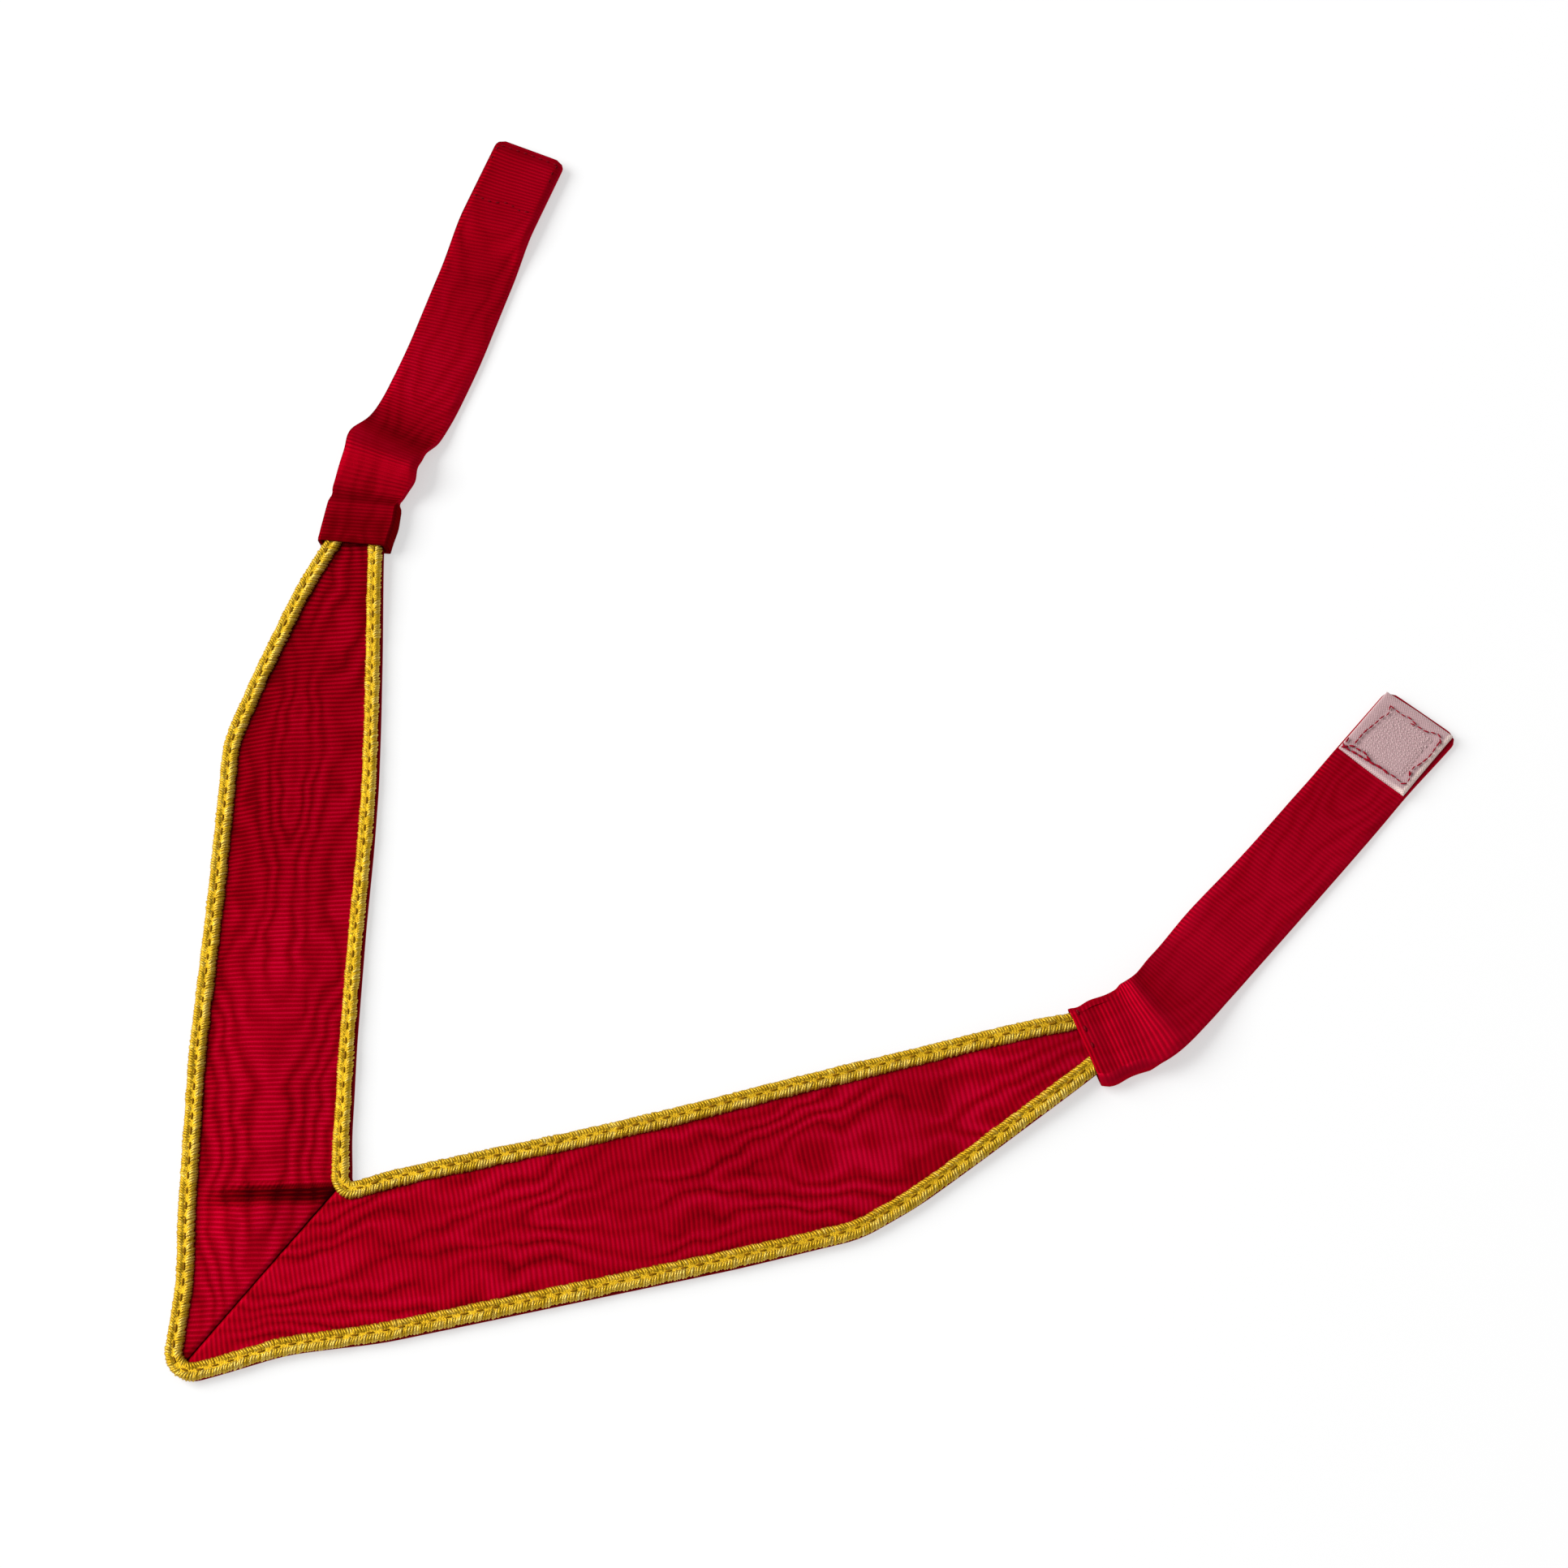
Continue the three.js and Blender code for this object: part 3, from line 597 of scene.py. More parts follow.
def ribbed_silk(name, colors, swirl, centre, ribs, depth, rib_highlight, patches):
    """Ribbed ribbon with a watered sheen: swirl is how strongly the figure shows."""
    dark, middle, bright = colors
    g = Surface(name)
    across, along, piece = g.weave()
    shift = g.mul(piece, 37.0)

    # The ribs lie across the ribbon and wander a little.
    wander = g.field(across, 0.035, along, 0.05, shift)
    rib = g.wave(g.add(g.math("DIVIDE", along, ribs), g.mul(wander, 1.4)))

    # The watered figure: the cloth was pressed folded along its middle, so both halves
    # carry the same nested lines, which run along the ribbon and meet in its middle.
    half = g.sub(across, centre)
    half = g.math("SQRT", g.mul_add(half, half, 3.0))
    bend = g.field(half, 0.045, along, 0.020, shift, 0.0)
    drift = g.field(half, 0.09, along, 0.07, shift, 1.0)
    stray = g.field(across, 0.08, along, 0.05, g.add(shift, 2.0))
    swing = g.add(g.mul(bend, 3.4), g.mul(drift, 1.4))
    lines = g.add(g.mul(half, 0.165), g.mul(along, -0.024), swing, g.mul(stray, 1.2))
    weak = g.ramp(g.field(half, 0.06, along, 0.03, g.add(shift, 9.0)), 0.34, 0.6, 0.35)
    figure = g.sub(g.math("POWER", g.wave(lines), 0.7), 0.6)
    figure = g.mul(figure, g.mul(weak, swirl))

    # Where the figure lies the ribs are crushed. The mitre seam is a dark line.
    height = g.mul(rib, g.mul_add(figure, -0.45, 0.8))
    thread = g.field(across, 5.5, along, 0.9, shift)
    patch = g.field(across, 0.04, along, 0.022, g.add(shift, 4.0))
    # Each rib is painted lighter on its crest and darker between, as painted highlight and
    # shade.
    lit_rib = g.mul(g.sub(rib, 0.5), g.mul_add(figure, 0.5, 1.0))
    off_seam = g.math("ABSOLUTE", g.node("ShaderNodeSeparateXYZ", {0: g.object_place()}))
    tone = g.add(
        g.mul_add(lit_rib, rib_highlight, 0.49),
        g.mul(figure, 0.55),
        # Painted light and shade from the shade attribute.
        g.attribute("shade", "Fac"),
        g.ramp(off_seam, 0.0002, 0.0005, -0.6, 0.0),
        g.mul(g.sub(thread, 0.5), 0.28),
        g.mul(g.sub(patch, 0.5), patches),
    )
    # The deepest red shows only under painted shade and on the seam line.
    deep = tuple(0.28 * part for part in dark)
    low = g.mix(g.ramp(tone, -0.55, 0.05), deep, dark)
    low = g.mix(g.ramp(tone, 0.0, 0.5), low, middle)
    return g.finish(
        {
            "Base Color": g.mix(g.ramp(tone, 0.45, 1.0), low, bright),
            "Normal": g.bump(height, depth, g.bump(thread, depth * 0.25)),
            "Metallic": 0.4,
            "Roughness": 0.46,
            "Specular IOR Level": 0.0,
            "Specular Tint": (1.0, 0.0, 0.04),
        }
    )


def lining_cloth(name, color, second):
    """Matt plain-woven cloth."""
    g = Surface(name)
    across, along, _ = g.weave()
    cross = g.mul(g.wave(g.mul(across, 1.6)), g.wave(g.mul(along, 1.6)))
    cloud = g.field(across, 0.3, along, 0.3, detail=3.0)
    share = g.add(g.mul(cross, 0.5), g.mul(cloud, 0.5))
    return g.finish(
        {
            "Base Color": g.mix(share, color, second),
            "Normal": g.bump(cross, 0.00008),
            "Roughness": 0.85,
            "Specular IOR Level": 0.15,
            "Specular Tint": (1.0, 0.2, 0.2),
        }
    )


def gold_foil(name, dark, middle, bright, rough):
    """Metallic foil thread round a core; each turn's own tone adds its cord's painted light."""
    g = Surface(name)
    place = g.object_place()
    grain = g.noise(place, 2600.0)
    tone = g.add(g.mul(g.noise(place, 260.0), 0.35), g.mul(grain, 0.45))
    # Each turn's tone holds its cord's painted gleam or painted shade.
    tone = g.add(tone, g.mul(g.attribute("turn_tone", "Fac"), 0.22))
    low = g.mix(g.ramp(tone, 0.18, 0.50), dark, middle)
    return g.finish(
        {
            "Base Color": g.mix(g.ramp(tone, 0.46, 0.78), low, bright),
            "Normal": g.bump(grain, 0.00016),
            "Metallic": 0.85,
            "Roughness": rough,
        }
    )


def pad_weave(name, color, second):
    """Pale woven tape, paler at its rim, and brighter there on its outer side as painted light.
    """
    g = Surface(name)
    across, along, _ = g.weave()
    warp, weft = g.wave(g.mul(across, 1.25)), g.wave(g.mul(along, 1.25))
    cross = g.math("ABSOLUTE", g.sub(warp, weft))
    cloud = g.field(across, 0.5, along, 0.5, detail=3.0)
    share = g.add(g.mul(cross, 0.45), g.mul(cloud, 0.55))
    to_rim = g.math("MAXIMUM", g.math("ABSOLUTE", across), g.math("ABSOLUTE", along))
    paler_rim = g.ramp(to_rim, PAD_SIZE / 2 - 1.0, PAD_SIZE / 2 - 0.3, 0.0, 0.7)
    # On the outer side the rim is painted brighter, as painted light.
    pale = g.mix(g.ramp(across, 8.0, 11.5), (0.66, 0.48, 0.47), (1.0, 0.80, 0.72))
    return g.finish(
        {
            "Base Color": g.mix(paler_rim, g.mix(share, color, second), pale),
            "Normal": g.bump(cross, 0.00012),
            "Roughness": 0.8,
            "Specular IOR Level": 0.2,
            "Sheen Weight": 0.15,
        }
    )


def sewing_thread(name, color, second):
    g = Surface(name)
    grain = g.noise(g.object_place(), 2200.0)
    return g.finish(
        {
            "Base Color": g.mix(grain, color, second),
            "Normal": g.bump(grain, 0.0001),
            "Roughness": 0.6,
            "Specular IOR Level": 0.2,
            "Specular Tint": (1.0, 0.2, 0.25),
        }
    )


class Growth(Nodes):
    """A Geometry Nodes tree with named inputs, built step by step."""

    def __init__(self, name, sizes):
        super().__init__(bpy.data.node_groups.new(name, "GeometryNodeTree"))
        self.sizes = sizes
        self.add_socket("Geometry", "INPUT", "Geometry")
        for key, value in sizes.items():
            kind = "Int" if isinstance(value, int) else "Float"
            is_material = isinstance(value, bpy.types.Material)
            self.add_socket(key, "INPUT", "Material" if is_material else kind)
        self.add_socket("Geometry", "OUTPUT", "Geometry")
        self.start = self.tree.nodes.new("NodeGroupInput").outputs
        self.end = self.tree.nodes.new("NodeGroupOutput").inputs

    def add_socket(self, name, way, kind):
        self.tree.interface.new_socket(name, in_out=way, socket_type=f"NodeSocket{kind}")

    def random(self, low, high, step=0):
        """A number or three between two limits, drawn for each copy."""
        seed = self.math("ADD", self.start["Seed"], step) if step else self.start["Seed"]
        many = isinstance(low, tuple)
        inputs = {0: low, 1: high} if many else {2: low, 3: high}
        kind = "FLOAT_VECTOR" if many else "FLOAT"
        inputs["Seed"] = seed
        return self.node("FunctionNodeRandomValue", inputs, 0 if many else 1, data_type=kind)

    def stored(self, name):
        inputs = {"Name": name}
        return self.node(
            "GeometryNodeInputNamedAttribute", inputs, "Attribute", data_type="FLOAT"
        )

    def arch(self, radius, steps, start, sweep):
        """An arc that stands upright, from start through sweep degrees."""
        inputs = {"Resolution": steps, "Radius": radius}
        inputs["Start Angle"], inputs["Sweep Angle"] = math.radians(start), math.radians(sweep)
        arc = self.node("GeometryNodeCurveArc", inputs, mode="RADIUS")
        inputs = {"Geometry": arc, "Rotation": (math.pi / 2, 0, 0)}
        return self.node("GeometryNodeTransform", inputs)

    def round_bar(self, curve, sides, radius):
        inputs = {"Resolution": sides, "Radius": radius}
        ring = self.node("GeometryNodeCurvePrimitiveCircle", inputs, mode="RADIUS")
        inputs = {"Curve": curve, "Profile Curve": ring, "Fill Caps": True}
        return self.node("GeometryNodeCurveToMesh", inputs)

    def dots_along(self, pivot):
        """Points one pitch apart on the path, and the turn that lays Y along it."""
        curve = self.node("GeometryNodeMeshToCurve", {"Mesh": self.start["Geometry"]})
        inputs = {"Curve": curve, "Length": self.start["Pitch"]}
        spaced = self.node("GeometryNodeResampleCurve", inputs, mode="LENGTH")
        dots = self.node("GeometryNodeCurveToPoints", {"Curve": spaced}, mode="EVALUATED")
        turned = self.node(
            "FunctionNodeAlignRotationToVector",
            {"Vector": dots.node.outputs["Tangent"]},
            axis="Y",
            pivot_axis=pivot,
        )
        return dots, turned

    def copies(self, dots, shape, turned, scale=(1, 1, 1)):
        inputs = {"Points": dots, "Instance": shape, "Rotation": turned, "Scale": scale}
        return self.node("GeometryNodeInstanceOnPoints", inputs)

    def grow(self, obj, geometry):
        """Ends the tree, runs it on the object and keeps the result as a plain mesh."""
        real = self.node("GeometryNodeRealizeInstances", {0: geometry})
        inputs = {"Geometry": real, "Material": self.start["Material"]}
        self.wire(self.node("GeometryNodeSetMaterial", inputs), self.end[0])
        modifier = obj.modifiers.new("growth", "NODES")
        modifier.node_group = self.tree
        for item in self.tree.interface.items_tree:
            if item.in_out == "INPUT" and item.name in self.sizes:
                modifier[item.identifier] = self.sizes[item.name]
        grown = obj.evaluated_get(bpy.context.evaluated_depsgraph_get())
        mesh = bpy.data.meshes.new_from_object(grown)
        obj.modifiers.remove(modifier)
        obj.data = mesh
        mesh.shade_smooth()
        return obj


def path_object(name, points, **numbers):
    """A path through millimetre points, as a mesh of edges with named numbers on it."""
    mesh = bpy.data.meshes.new(name)
    edges = [(k, k + 1) for k in range(len(points) - 1)]
    mesh.from_pydata((np.asarray(points, float) * MM).tolist(), edges, [])
    for key, values in numbers.items():
        layer = mesh.attributes.new(key, "FLOAT", "POINT")
        layer.data.foreach_set("value", np.asarray(values, np.float32))
    return linked(name, mesh)


def join(name, parts):
    """One object from several plain ones, with their materials."""
    with bpy.context.temp_override(
        active_object=parts[0], selected_editable_objects=parts, selected_objects=parts
    ):
        bpy.ops.object.join()
    parts[0].name = parts[0].data.name = name
    return parts[0]


def wound_threads(name, points, scale, gleam, side, material, seed):
    """Threads that wrap a cord slantwise, each a bent round bar, all along a path."""
    sizes = {
        "Pitch": THREAD_PITCH * MM,
        "Cord Radius": CORD_RADIUS * MM,
        "Thread Radius": THREAD_RADIUS * MM,
        "Slant": side * MM,
        "Seed": seed,
        "Material": material,
    }
    t = Growth(name, sizes)
    arch = t.arch(t.start["Cord Radius"], 8, -12, 204)
    factor = t.node("GeometryNodeSplineParameter", out="Factor")
    lean = t.math("MULTIPLY", t.math("SUBTRACT", factor, 0.5), t.start["Slant"])
    offset = t.vector(0.0, t.math("MULTIPLY", lean, 2.0))
    sheared = t.node("GeometryNodeSetPosition", {"Geometry": arch, "Offset": offset})
    thread = t.round_bar(sheared, 5, t.start["Thread Radius"])
    dots, turned = t.dots_along("Z")
    loose = t.random((-0.08, -0.14, -0.22), (0.08, 0.14, 0.22), 7)
    inputs = {"Rotation": turned, "Rotate By": loose}
    turned = t.node("FunctionNodeRotateRotation", inputs, rotation_space="LOCAL")
    sized = t.stored("scale")
    high = t.math("MULTIPLY", sized, t.random(0.82, 1.1))
    placed = t.copies(dots, thread, turned, t.vector(sized, 1.0, high))
    # A random tone for each turn, plus its cord's painted gleam or painted shade.
    tone = t.math("ADD", t.random(0.0, 1.0, 3), t.stored("gleam"))
    toned = t.node(
        "GeometryNodeStoreNamedAttribute",
        {"Geometry": placed, "Name": "turn_tone", "Value": tone},
        data_type="FLOAT",
        domain="INSTANCE",
    )
    return t.grow(path_object(name, points, scale=scale, gleam=gleam), toned)


def sewn(name, points, material, length, pitch, radius, seed):
    """A row of stitches along a path: short round bars, sunk a little at both ends."""
    sizes = {
        "Pitch": pitch * MM,
        "Stitch Length": length * MM,
        "Thread Radius": radius * MM,
        "Seed": seed,
        "Material": material,
    }
    t = Growth(name, sizes)
    inputs = {"Segments": 6, "Rings": 5, "Radius": 1.0}
    bar = t.node("GeometryNodeMeshUVSphere", inputs, "Mesh")
    half, thick = t.math("MULTIPLY", t.start["Stitch Length"], 0.5), t.start["Thread Radius"]
    shape = {"Geometry": bar, "Scale": t.vector(thick, half, thick)}
    stitch = t.node("GeometryNodeTransform", shape)
    dots, turned = t.dots_along("AUTO")
    placed = t.copies(dots, stitch, turned, t.random(0.85, 1.15))
    return t.grow(path_object(name, points), placed)


def crease(arm, points, share):
    """The left ribbon's step where the seam's turned cloth ends: height and painted shade."""
    if arm.name != "left":
        return np.zeros(points.shape[:-1]), np.zeros(points.shape[:-1])
    s = (points - THROAT) @ arm.along
    s = s + 0.5 * soft_noise(share * 4, 0 * share, 41) + 1.2 * smooth(share, 0.5, 0.9)
    fold, ramp = CREASE_PLACE, CREASE_RAMP
    grow = smooth(s, fold - RIBBON_WIDTH / 2, fold - ramp / 2)
    drop = 1 - smooth(s, fold - ramp / 2, fold + ramp / 2)
    between = np.sin(np.pi * np.clip(share, 0, 1)) ** 0.5
    fade = 1 - smooth(share, 0.66, 0.92)
    valley = VALLEY_DEPTH * np.exp(-(((s - fold - VALLEY_PLACE) / VALLEY_SPREAD) ** 2))
    height = CREASE_HEIGHT * grow * drop * between * (0.3 + 0.7 * fade) - valley * fade
    # A band of painted shadow across the ribbon, by the step.
    band = smooth(s, fold + SHADOW_START, fold + SHADOW_FULL)
    band = band * (1 - smooth(s, fold + SHADOW_FADE, fold + SHADOW_END))
    return height, -SHADOW_DEPTH * band * fade * (1 - 0.25 * smooth(share, 0.1, 0.7))


def ribbon_piece(arm, material):
    """One arm's ribbon: between the braids it swells a little, and it dips at the mitre."""
    name = f"ribbon_{arm.name}_silk"
    inner, outer, a, b = section_stations(arm, 70, 1.0)
    p = inner.point(a, RIBBON_UNDER_BRAID)
    q = outer.point(b, RIBBON_UNDER_BRAID)
    share = np.linspace(0, 1, 61)
    points = p[:, None] + (q - p)[:, None] * share[:, None]
    share = share[None, :]
    s = a[:, None] + (b - a)[:, None] * share
    across, along = arm.weave(points)
    points[..., 0] = arm.sign * np.maximum(arm.sign * points[..., 0], GAP / 2)
    off_seam = np.abs(points[..., 0])
    step, shade = crease(arm, points, share + 0 * s)
    wide = np.linalg.norm(q - p, axis=1)[:, None]
    beside = (1 - share) * wide - (BRAID_WIDTH - RIBBON_UNDER_BRAID)
    depth, change, start, end = RIBBON_PAINTED_LIGHT[arm.name]
    # Painted shade beside the outer braid, and painted light that changes along the arm.
    shade = shade - depth * np.exp(-np.clip(beside, 0, None) / BRAID_SHADE_REACH)
    shade = shade + change * smooth(s, start, end)
    base = arm.lift(s) + STACK_RIBBON + np.maximum(step * smooth(off_seam, 0, 14), 0)
    bow = RIB_BOW * smooth(share, 0.55, 1.0) * soft_noise(along / 18, 0 * s, 6)
    seam = -SEAM_DIP * np.exp(-((off_seam / SEAM_SPREAD) ** 2))
    between = np.sin(np.pi * share)
    ripple = RIPPLE_HEIGHT * soft_noise(across / 14, along / 26, 3 + arm.sign)
    near_end = smooth(s, arm.length - 26, arm.length - 4)
    relief = (RIBBON_SWELL * between**0.6 + ripple * between) * (1 - near_end) + seam
    relief = relief + np.minimum(ripple, 0)
    top = np.dstack([points, base + CLOTH + relief])
    bottom = np.dstack([points, base + 0 * relief])
    rings = np.concatenate([bottom, top[:, ::-1]], axis=1)
    number = np.full_like(across, 1.0 if arm.name == "left" else 2.0)
    cloth = np.dstack([across, along + bow, number])
    weave = np.concatenate([cloth, cloth[:, ::-1]], axis=1)
    shade = np.concatenate([0 * shade, shade[:, ::-1]], axis=1)
    return loft(name, rings, weave, material, sharp=50, shade=shade)


def backing_piece(material):
    """The lining under the whole V, with its edges rounded."""
    halves, weaves = [], []
    edge, middle = np.array([0.0, 0.12, 0.45, 1.2]), np.linspace(0, 1, 22)[1:-1]
    for arm in (LEFT, RIGHT):
        inner, outer, a, b = section_stations(arm, 40, 2.5)
        past = 0.0 if arm.name == "left" else LINING_PAST
        past = past * smooth(b, -20, 10) * (1 - smooth(b, 110, 150))
        p = pulled(inner.point(a, -inner.read("show", a) * BRAID_WIDTH))
        q = outer.point(b, BRAID_OVERHANG - past)
        width = np.linalg.norm(q - p, axis=1)
        near = edge / width[:, None]
        inside = np.broadcast_to(middle, (len(width), len(middle)))
        share = np.sort(np.concatenate([near, inside, 1 - near], axis=1), axis=1)
        points = p[:, None] + (q - p)[:, None] * share[..., None]
        s = a[:, None] + (b - a)[:, None] * share
        from_edge = np.minimum(share, 1 - share) * width[:, None]
        off_arc = 1 - from_edge / LINING_ROUND_REACH
        round_off = LINING_ROUND * (1 - np.sqrt(np.clip(1 - off_arc**2, 0, 1)))
        round_off = np.where(from_edge < LINING_ROUND_REACH, round_off, 0)
        across, along = arm.weave(points)
        base = arm.lift(s)
        bottom = np.dstack([points, base + round_off])
        top = np.dstack([points, base + CLOTH - round_off])
        halves.append(np.concatenate([bottom, top[:, ::-1]], axis=1))
        cloth = np.dstack([across, along, 0 * across])
        weaves.append(np.concatenate([cloth, cloth[:, ::-1]], axis=1))
    return loft("backing_lining", through(halves), through(weaves), material, sharp=60)


def braid_piece(which, threads, core, dimple):
    """Two cords side by side over a core, wound slantwise so that the threads meet in a V."""
    halves, grooves, scales = [], [], []
    cords, painted_cord_lights = ([], []), ([], [])
    section = table("across up", BRAID_CORE)
    across, up = section["across"][:-1], section["up"][:-1]
    for arm in (LEFT, RIGHT):
        edge = Edge(arm, which)
        s = edge.stations(1.0)
        wide = edge.wide(s)
        base = arm.lift(s) + STACK_BRAID

        def place(share):
            xy = edge.point(s, share * wide)
            return pulled(xy) if which == "inner" else xy

        points = np.stack([place(share) for share in across], axis=1)
        halves.append(np.dstack([points, base[:, None] + up * BRAID_HEIGHT]))
        grooves.append(np.column_stack([place(0.5), base + BRAID_HEIGHT * GROOVE_HEIGHT]))
        scales.append(wide / BRAID_WIDTH * (1 + 0.05 * soft_noise(s / 2.3, 0 * s, 61)))
        for side, share in enumerate(CORD_PLACES):
            xy = place(share)
            shake = 0.10 * soft_noise(s / 1.9, 0 * s, 51 + side)
            normal = np.gradient(xy, axis=0) @ np.array([[0, 1], [-1, 0]])
            normal /= np.linalg.norm(normal, axis=1, keepdims=True)
            cords[side].append(np.column_stack([xy + shake[:, None] * normal, base + 0.02]))
            # On each side one cord gets a painted gleam, the other painted shade.
            lit = side == int((which == "outer") == (arm.name == "left"))
            painted_cord_lights[side].append(np.full(len(s), CORD_PAINTED_GLEAM if lit else CORD_PAINTED_DULL))
    rings, scale = through(halves), through(scales)
    parts = [loft(f"braid_{which}_core", rings, rings, core)]
    for side in (0, 1):
        path, gleam = through(cords[side]), through(painted_cord_lights[side])
        slant = 1 if (side == 0) == (which == "outer") else -1
        name = f"braid_{which}_{side}"
        parts.append(wound_threads(name, path, scale, gleam, slant, threads, 11 + side))
    name, sizes = f"braid_{which}_seam", (GROOVE_STITCH, GROOVE_PITCH, GROOVE_THREAD)
    parts.append(sewn(name, through(grooves), dimple, *sizes, seed=17))
    return join(f"braid_{which}_cords", parts)


class Strap:
    """A strap as stations along its middle line, from the sleeve's mouth to its free end."""

    def __init__(self, arm):
        self.arm, self.traits = arm, STRAP_TRAITS[arm.name]
        h = MOUTH_HEADING
        self.ahead0 = np.array([arm.sign * math.sin(h), math.cos(h)])
        self.out0 = np.array([arm.sign * math.cos(h), -math.sin(h)])

        # The sleeve is as wide as the arm's end that lies in it.
        inner, outer = Edge(arm, "inner"), Edge(arm, "outer")

        def arm_sides(s):
            shown = inner.read("show", s) * BRAID_WIDTH
            return inner.point(s, -shown), outer.point(s, 0.0)

        p, q = arm_sides(np.array([arm.length]))
        self.middle = (p[0] + q[0]) / 2
        samples = arm.length + np.linspace(-ARM_INSERT, ARM_INSERT, 49)
        spread = np.concatenate(arm_sides(samples)) - self.middle
        spread = spread[spread @ self.ahead0 >= -CLOTH]
        self.half = np.abs(spread @ self.out0).max() + GAP

        # Past the sleeve the strap bends, narrows and flattens.
        pocket = POCKET_DEPTH + CLOTH
        total = pocket + arm.free
        self.d = d = np.linspace(0, total, int(total) + 1)
        rows = table(STRAP_COLUMNS, STRAPS[arm.name])
        free = np.clip((d - pocket) / arm.free, 0, 1)
        left = arm.free * (1 - free)
        soft = lambda name: np.where(free > 0, eased(rows, name, free, 0.02), rows[name][0])
        turn = np.radians(column(rows, "turn", free)) * arm.sign
        c, s = np.cos(turn), np.sin(turn)
        spin = lambda v: np.stack([c * v[0] - s * v[1], s * v[0] + c * v[1]], axis=1)
        self.ahead, self.out = spin(self.ahead0), spin(self.out0)
        steps = np.diff(d, prepend=0)[:, None] * self.ahead
        self.place = self.middle + self.out0 * arm.aside + np.cumsum(steps, axis=0)
        self.skew = math.tan(arm.skew) * (1 - smooth(left, 0, END_SKEW_SPAN))

        puff = soft("puff")
        plain = STRAP_WIDTH / 2 * (1 - puff) + (self.half + SLEEVE_CLOTH) * puff
        corner = np.clip(STRAP_CORNER - left, 0, None)
        rounding = STRAP_CORNER - np.sqrt(STRAP_CORNER**2 - corner**2)
        flat = smooth(d, pocket + 10, pocket + 30)
        self.inner, self.outer = (
            plain + soft(side) * STRAP_WIDTH - rounding + self.tucks(side, d) + extra * flat
            for side, extra in zip(("inner", "outer"), self.traits["extra"])
        )

        self.floor = soft("rise") * STRAP_WIDTH
        if arm.name == "left":
            # The left strap's end lies on the loop square.
            start = (1 + 2 * PADS["left"]["from_end"]) * PAD_SIZE
            share = 1 - smooth(left, start + GAP, start + PAD_RAMP)
            self.floor = self.floor + share * (PAD_THICKNESS + GAP)
            rolled, crowned = ROLLED_EDGE, smooth(left, 0, 5)
            spare = SPARE_CLOTH * smooth(left, 0, 60)
        else:
            rolled, crowned = ROLLED_EDGE + 0.7 * (1 - smooth(left, 27, 42)), 1
            spare = SPARE_CLOTH * smooth(left, 30, 50)

        # The cloth is thinner than its solid, and its upper side keeps its height.
        tall = SLEEVE_HEIGHT - (CLOTH - SLEEVE_CLOTH)
        thick = (STRAP_THICKNESS - spare) * (1 - puff) + tall * puff
        past = smooth(d, POCKET_DEPTH, POCKET_DEPTH + 3.5)
        thin = np.maximum(thick - (STRAP_THICKNESS - spare), 0) * past
        thick = thick - thin
        self.floor = self.floor + spare * (1 - puff) + thin
        puff = puff * (1 - past)
        self.edge = rolled * (1 - puff) + tall * puff
        self.thick = self.edge + (thick - self.edge) * crowned
        self.corner = 0.45 * (1 - puff) + self.traits["corners"][0] * puff
        self.corner = np.minimum(self.edge / 2, self.corner)

    def tucks(self, side, d):
        rows = TUCKS[self.arm.name, side]
        return sum(way * np.exp(-(((d - at) / spread) ** 2)) for at, way, spread in rows)

    def folds(self, d, share):
        """Height and painted shade of the ridges and hollows at places on the strap."""
        height = np.zeros(np.broadcast(d, share).shape)
        shade = height.copy()
        for at, swing, rise, before, after, fade, tone in FOLDS[self.arm.name]:
            off = d - at - swing * (share + 1) / 2
            spread = np.where(off < 0, before, after)
            bell = np.exp(-((off / spread) ** 2)) * (1 - fade * (share + 1) / 2)
            height += rise * bell
            shade += tone * bell
        return height, shade

    def read(self, values, d):
        if np.ndim(values) == 2:
            return np.stack([np.interp(d, self.d, v) for v in values.T], axis=-1)
        return np.interp(d, self.d, values)

    def top(self, d, share):
        """Height of the strap's upper side above its own underside, and its painted shade."""
        inner, outer = self.read(self.inner, d), self.read(self.outer, d)
        from_edge = np.where(share < 0, (1 + share) * inner, (1 - share) * outer)
        edge, thick = self.read(self.edge, d), self.read(self.thick, d)
        crown = smooth(from_edge, 0, CROWN_REACH)
        height, shade = self.folds(d, share)
        wave = WAVE_HEIGHT * soft_noise(share * 1.1, d / 17, self.traits["seed"])
        wave = wave * smooth(d, 20, 50)
        hem = -HEM_DEPTH * np.exp(-(((d - HEM_PLACE) / HEM_SPREAD) ** 2))
        rounded = -RIM_ROUND * (1 - smooth(d, 0, RIM_REACH))
        z = edge + (thick - edge) * crown + (height + wave) * smooth(from_edge, 0, 3)
        return z + hem + rounded, shade - RIM_SHADE * (1 - smooth(d, 0.5, 1.8))

    def point(self, d, share, z=0.0):
        """A point on top of the strap: share runs from -1 inner to 1 outer."""
        d, share = np.broadcast_arrays(np.asarray(d, float), np.asarray(share, float))
        inner, outer = self.read(self.inner, d), self.read(self.outer, d)
        q = np.where(share < 0, share * inner, share * outer)
        ahead, out = self.read(self.ahead, d), self.read(self.out, d)
        xy = self.read(self.place, d) + out * q[..., None]
        xy = xy + ahead * (q * self.read(self.skew, d))[..., None]
        top = self.read(self.floor, d) + self.top(d, share)[0] + z
        return np.concatenate([xy, top[..., None]], axis=-1)

    def lit(self, d):
        """How much painted light brightens the plain cloth of the top, outer and inner walls.

        The sleeve is painted darker than the free strap, as painted shade.
        """
        if self.arm.name == "right":
            top = 0.28 - 0.1 * (1 - smooth(d, 14, 20))
            return top, top + 0.3 + 0.2 * smooth(d, 15, 19), top
        top = -0.1 * (1 - smooth(d, 13, 19))
        return top, top - 0.3, 0.45 - 1.0 * (1 - smooth(d, 15.5, 18))

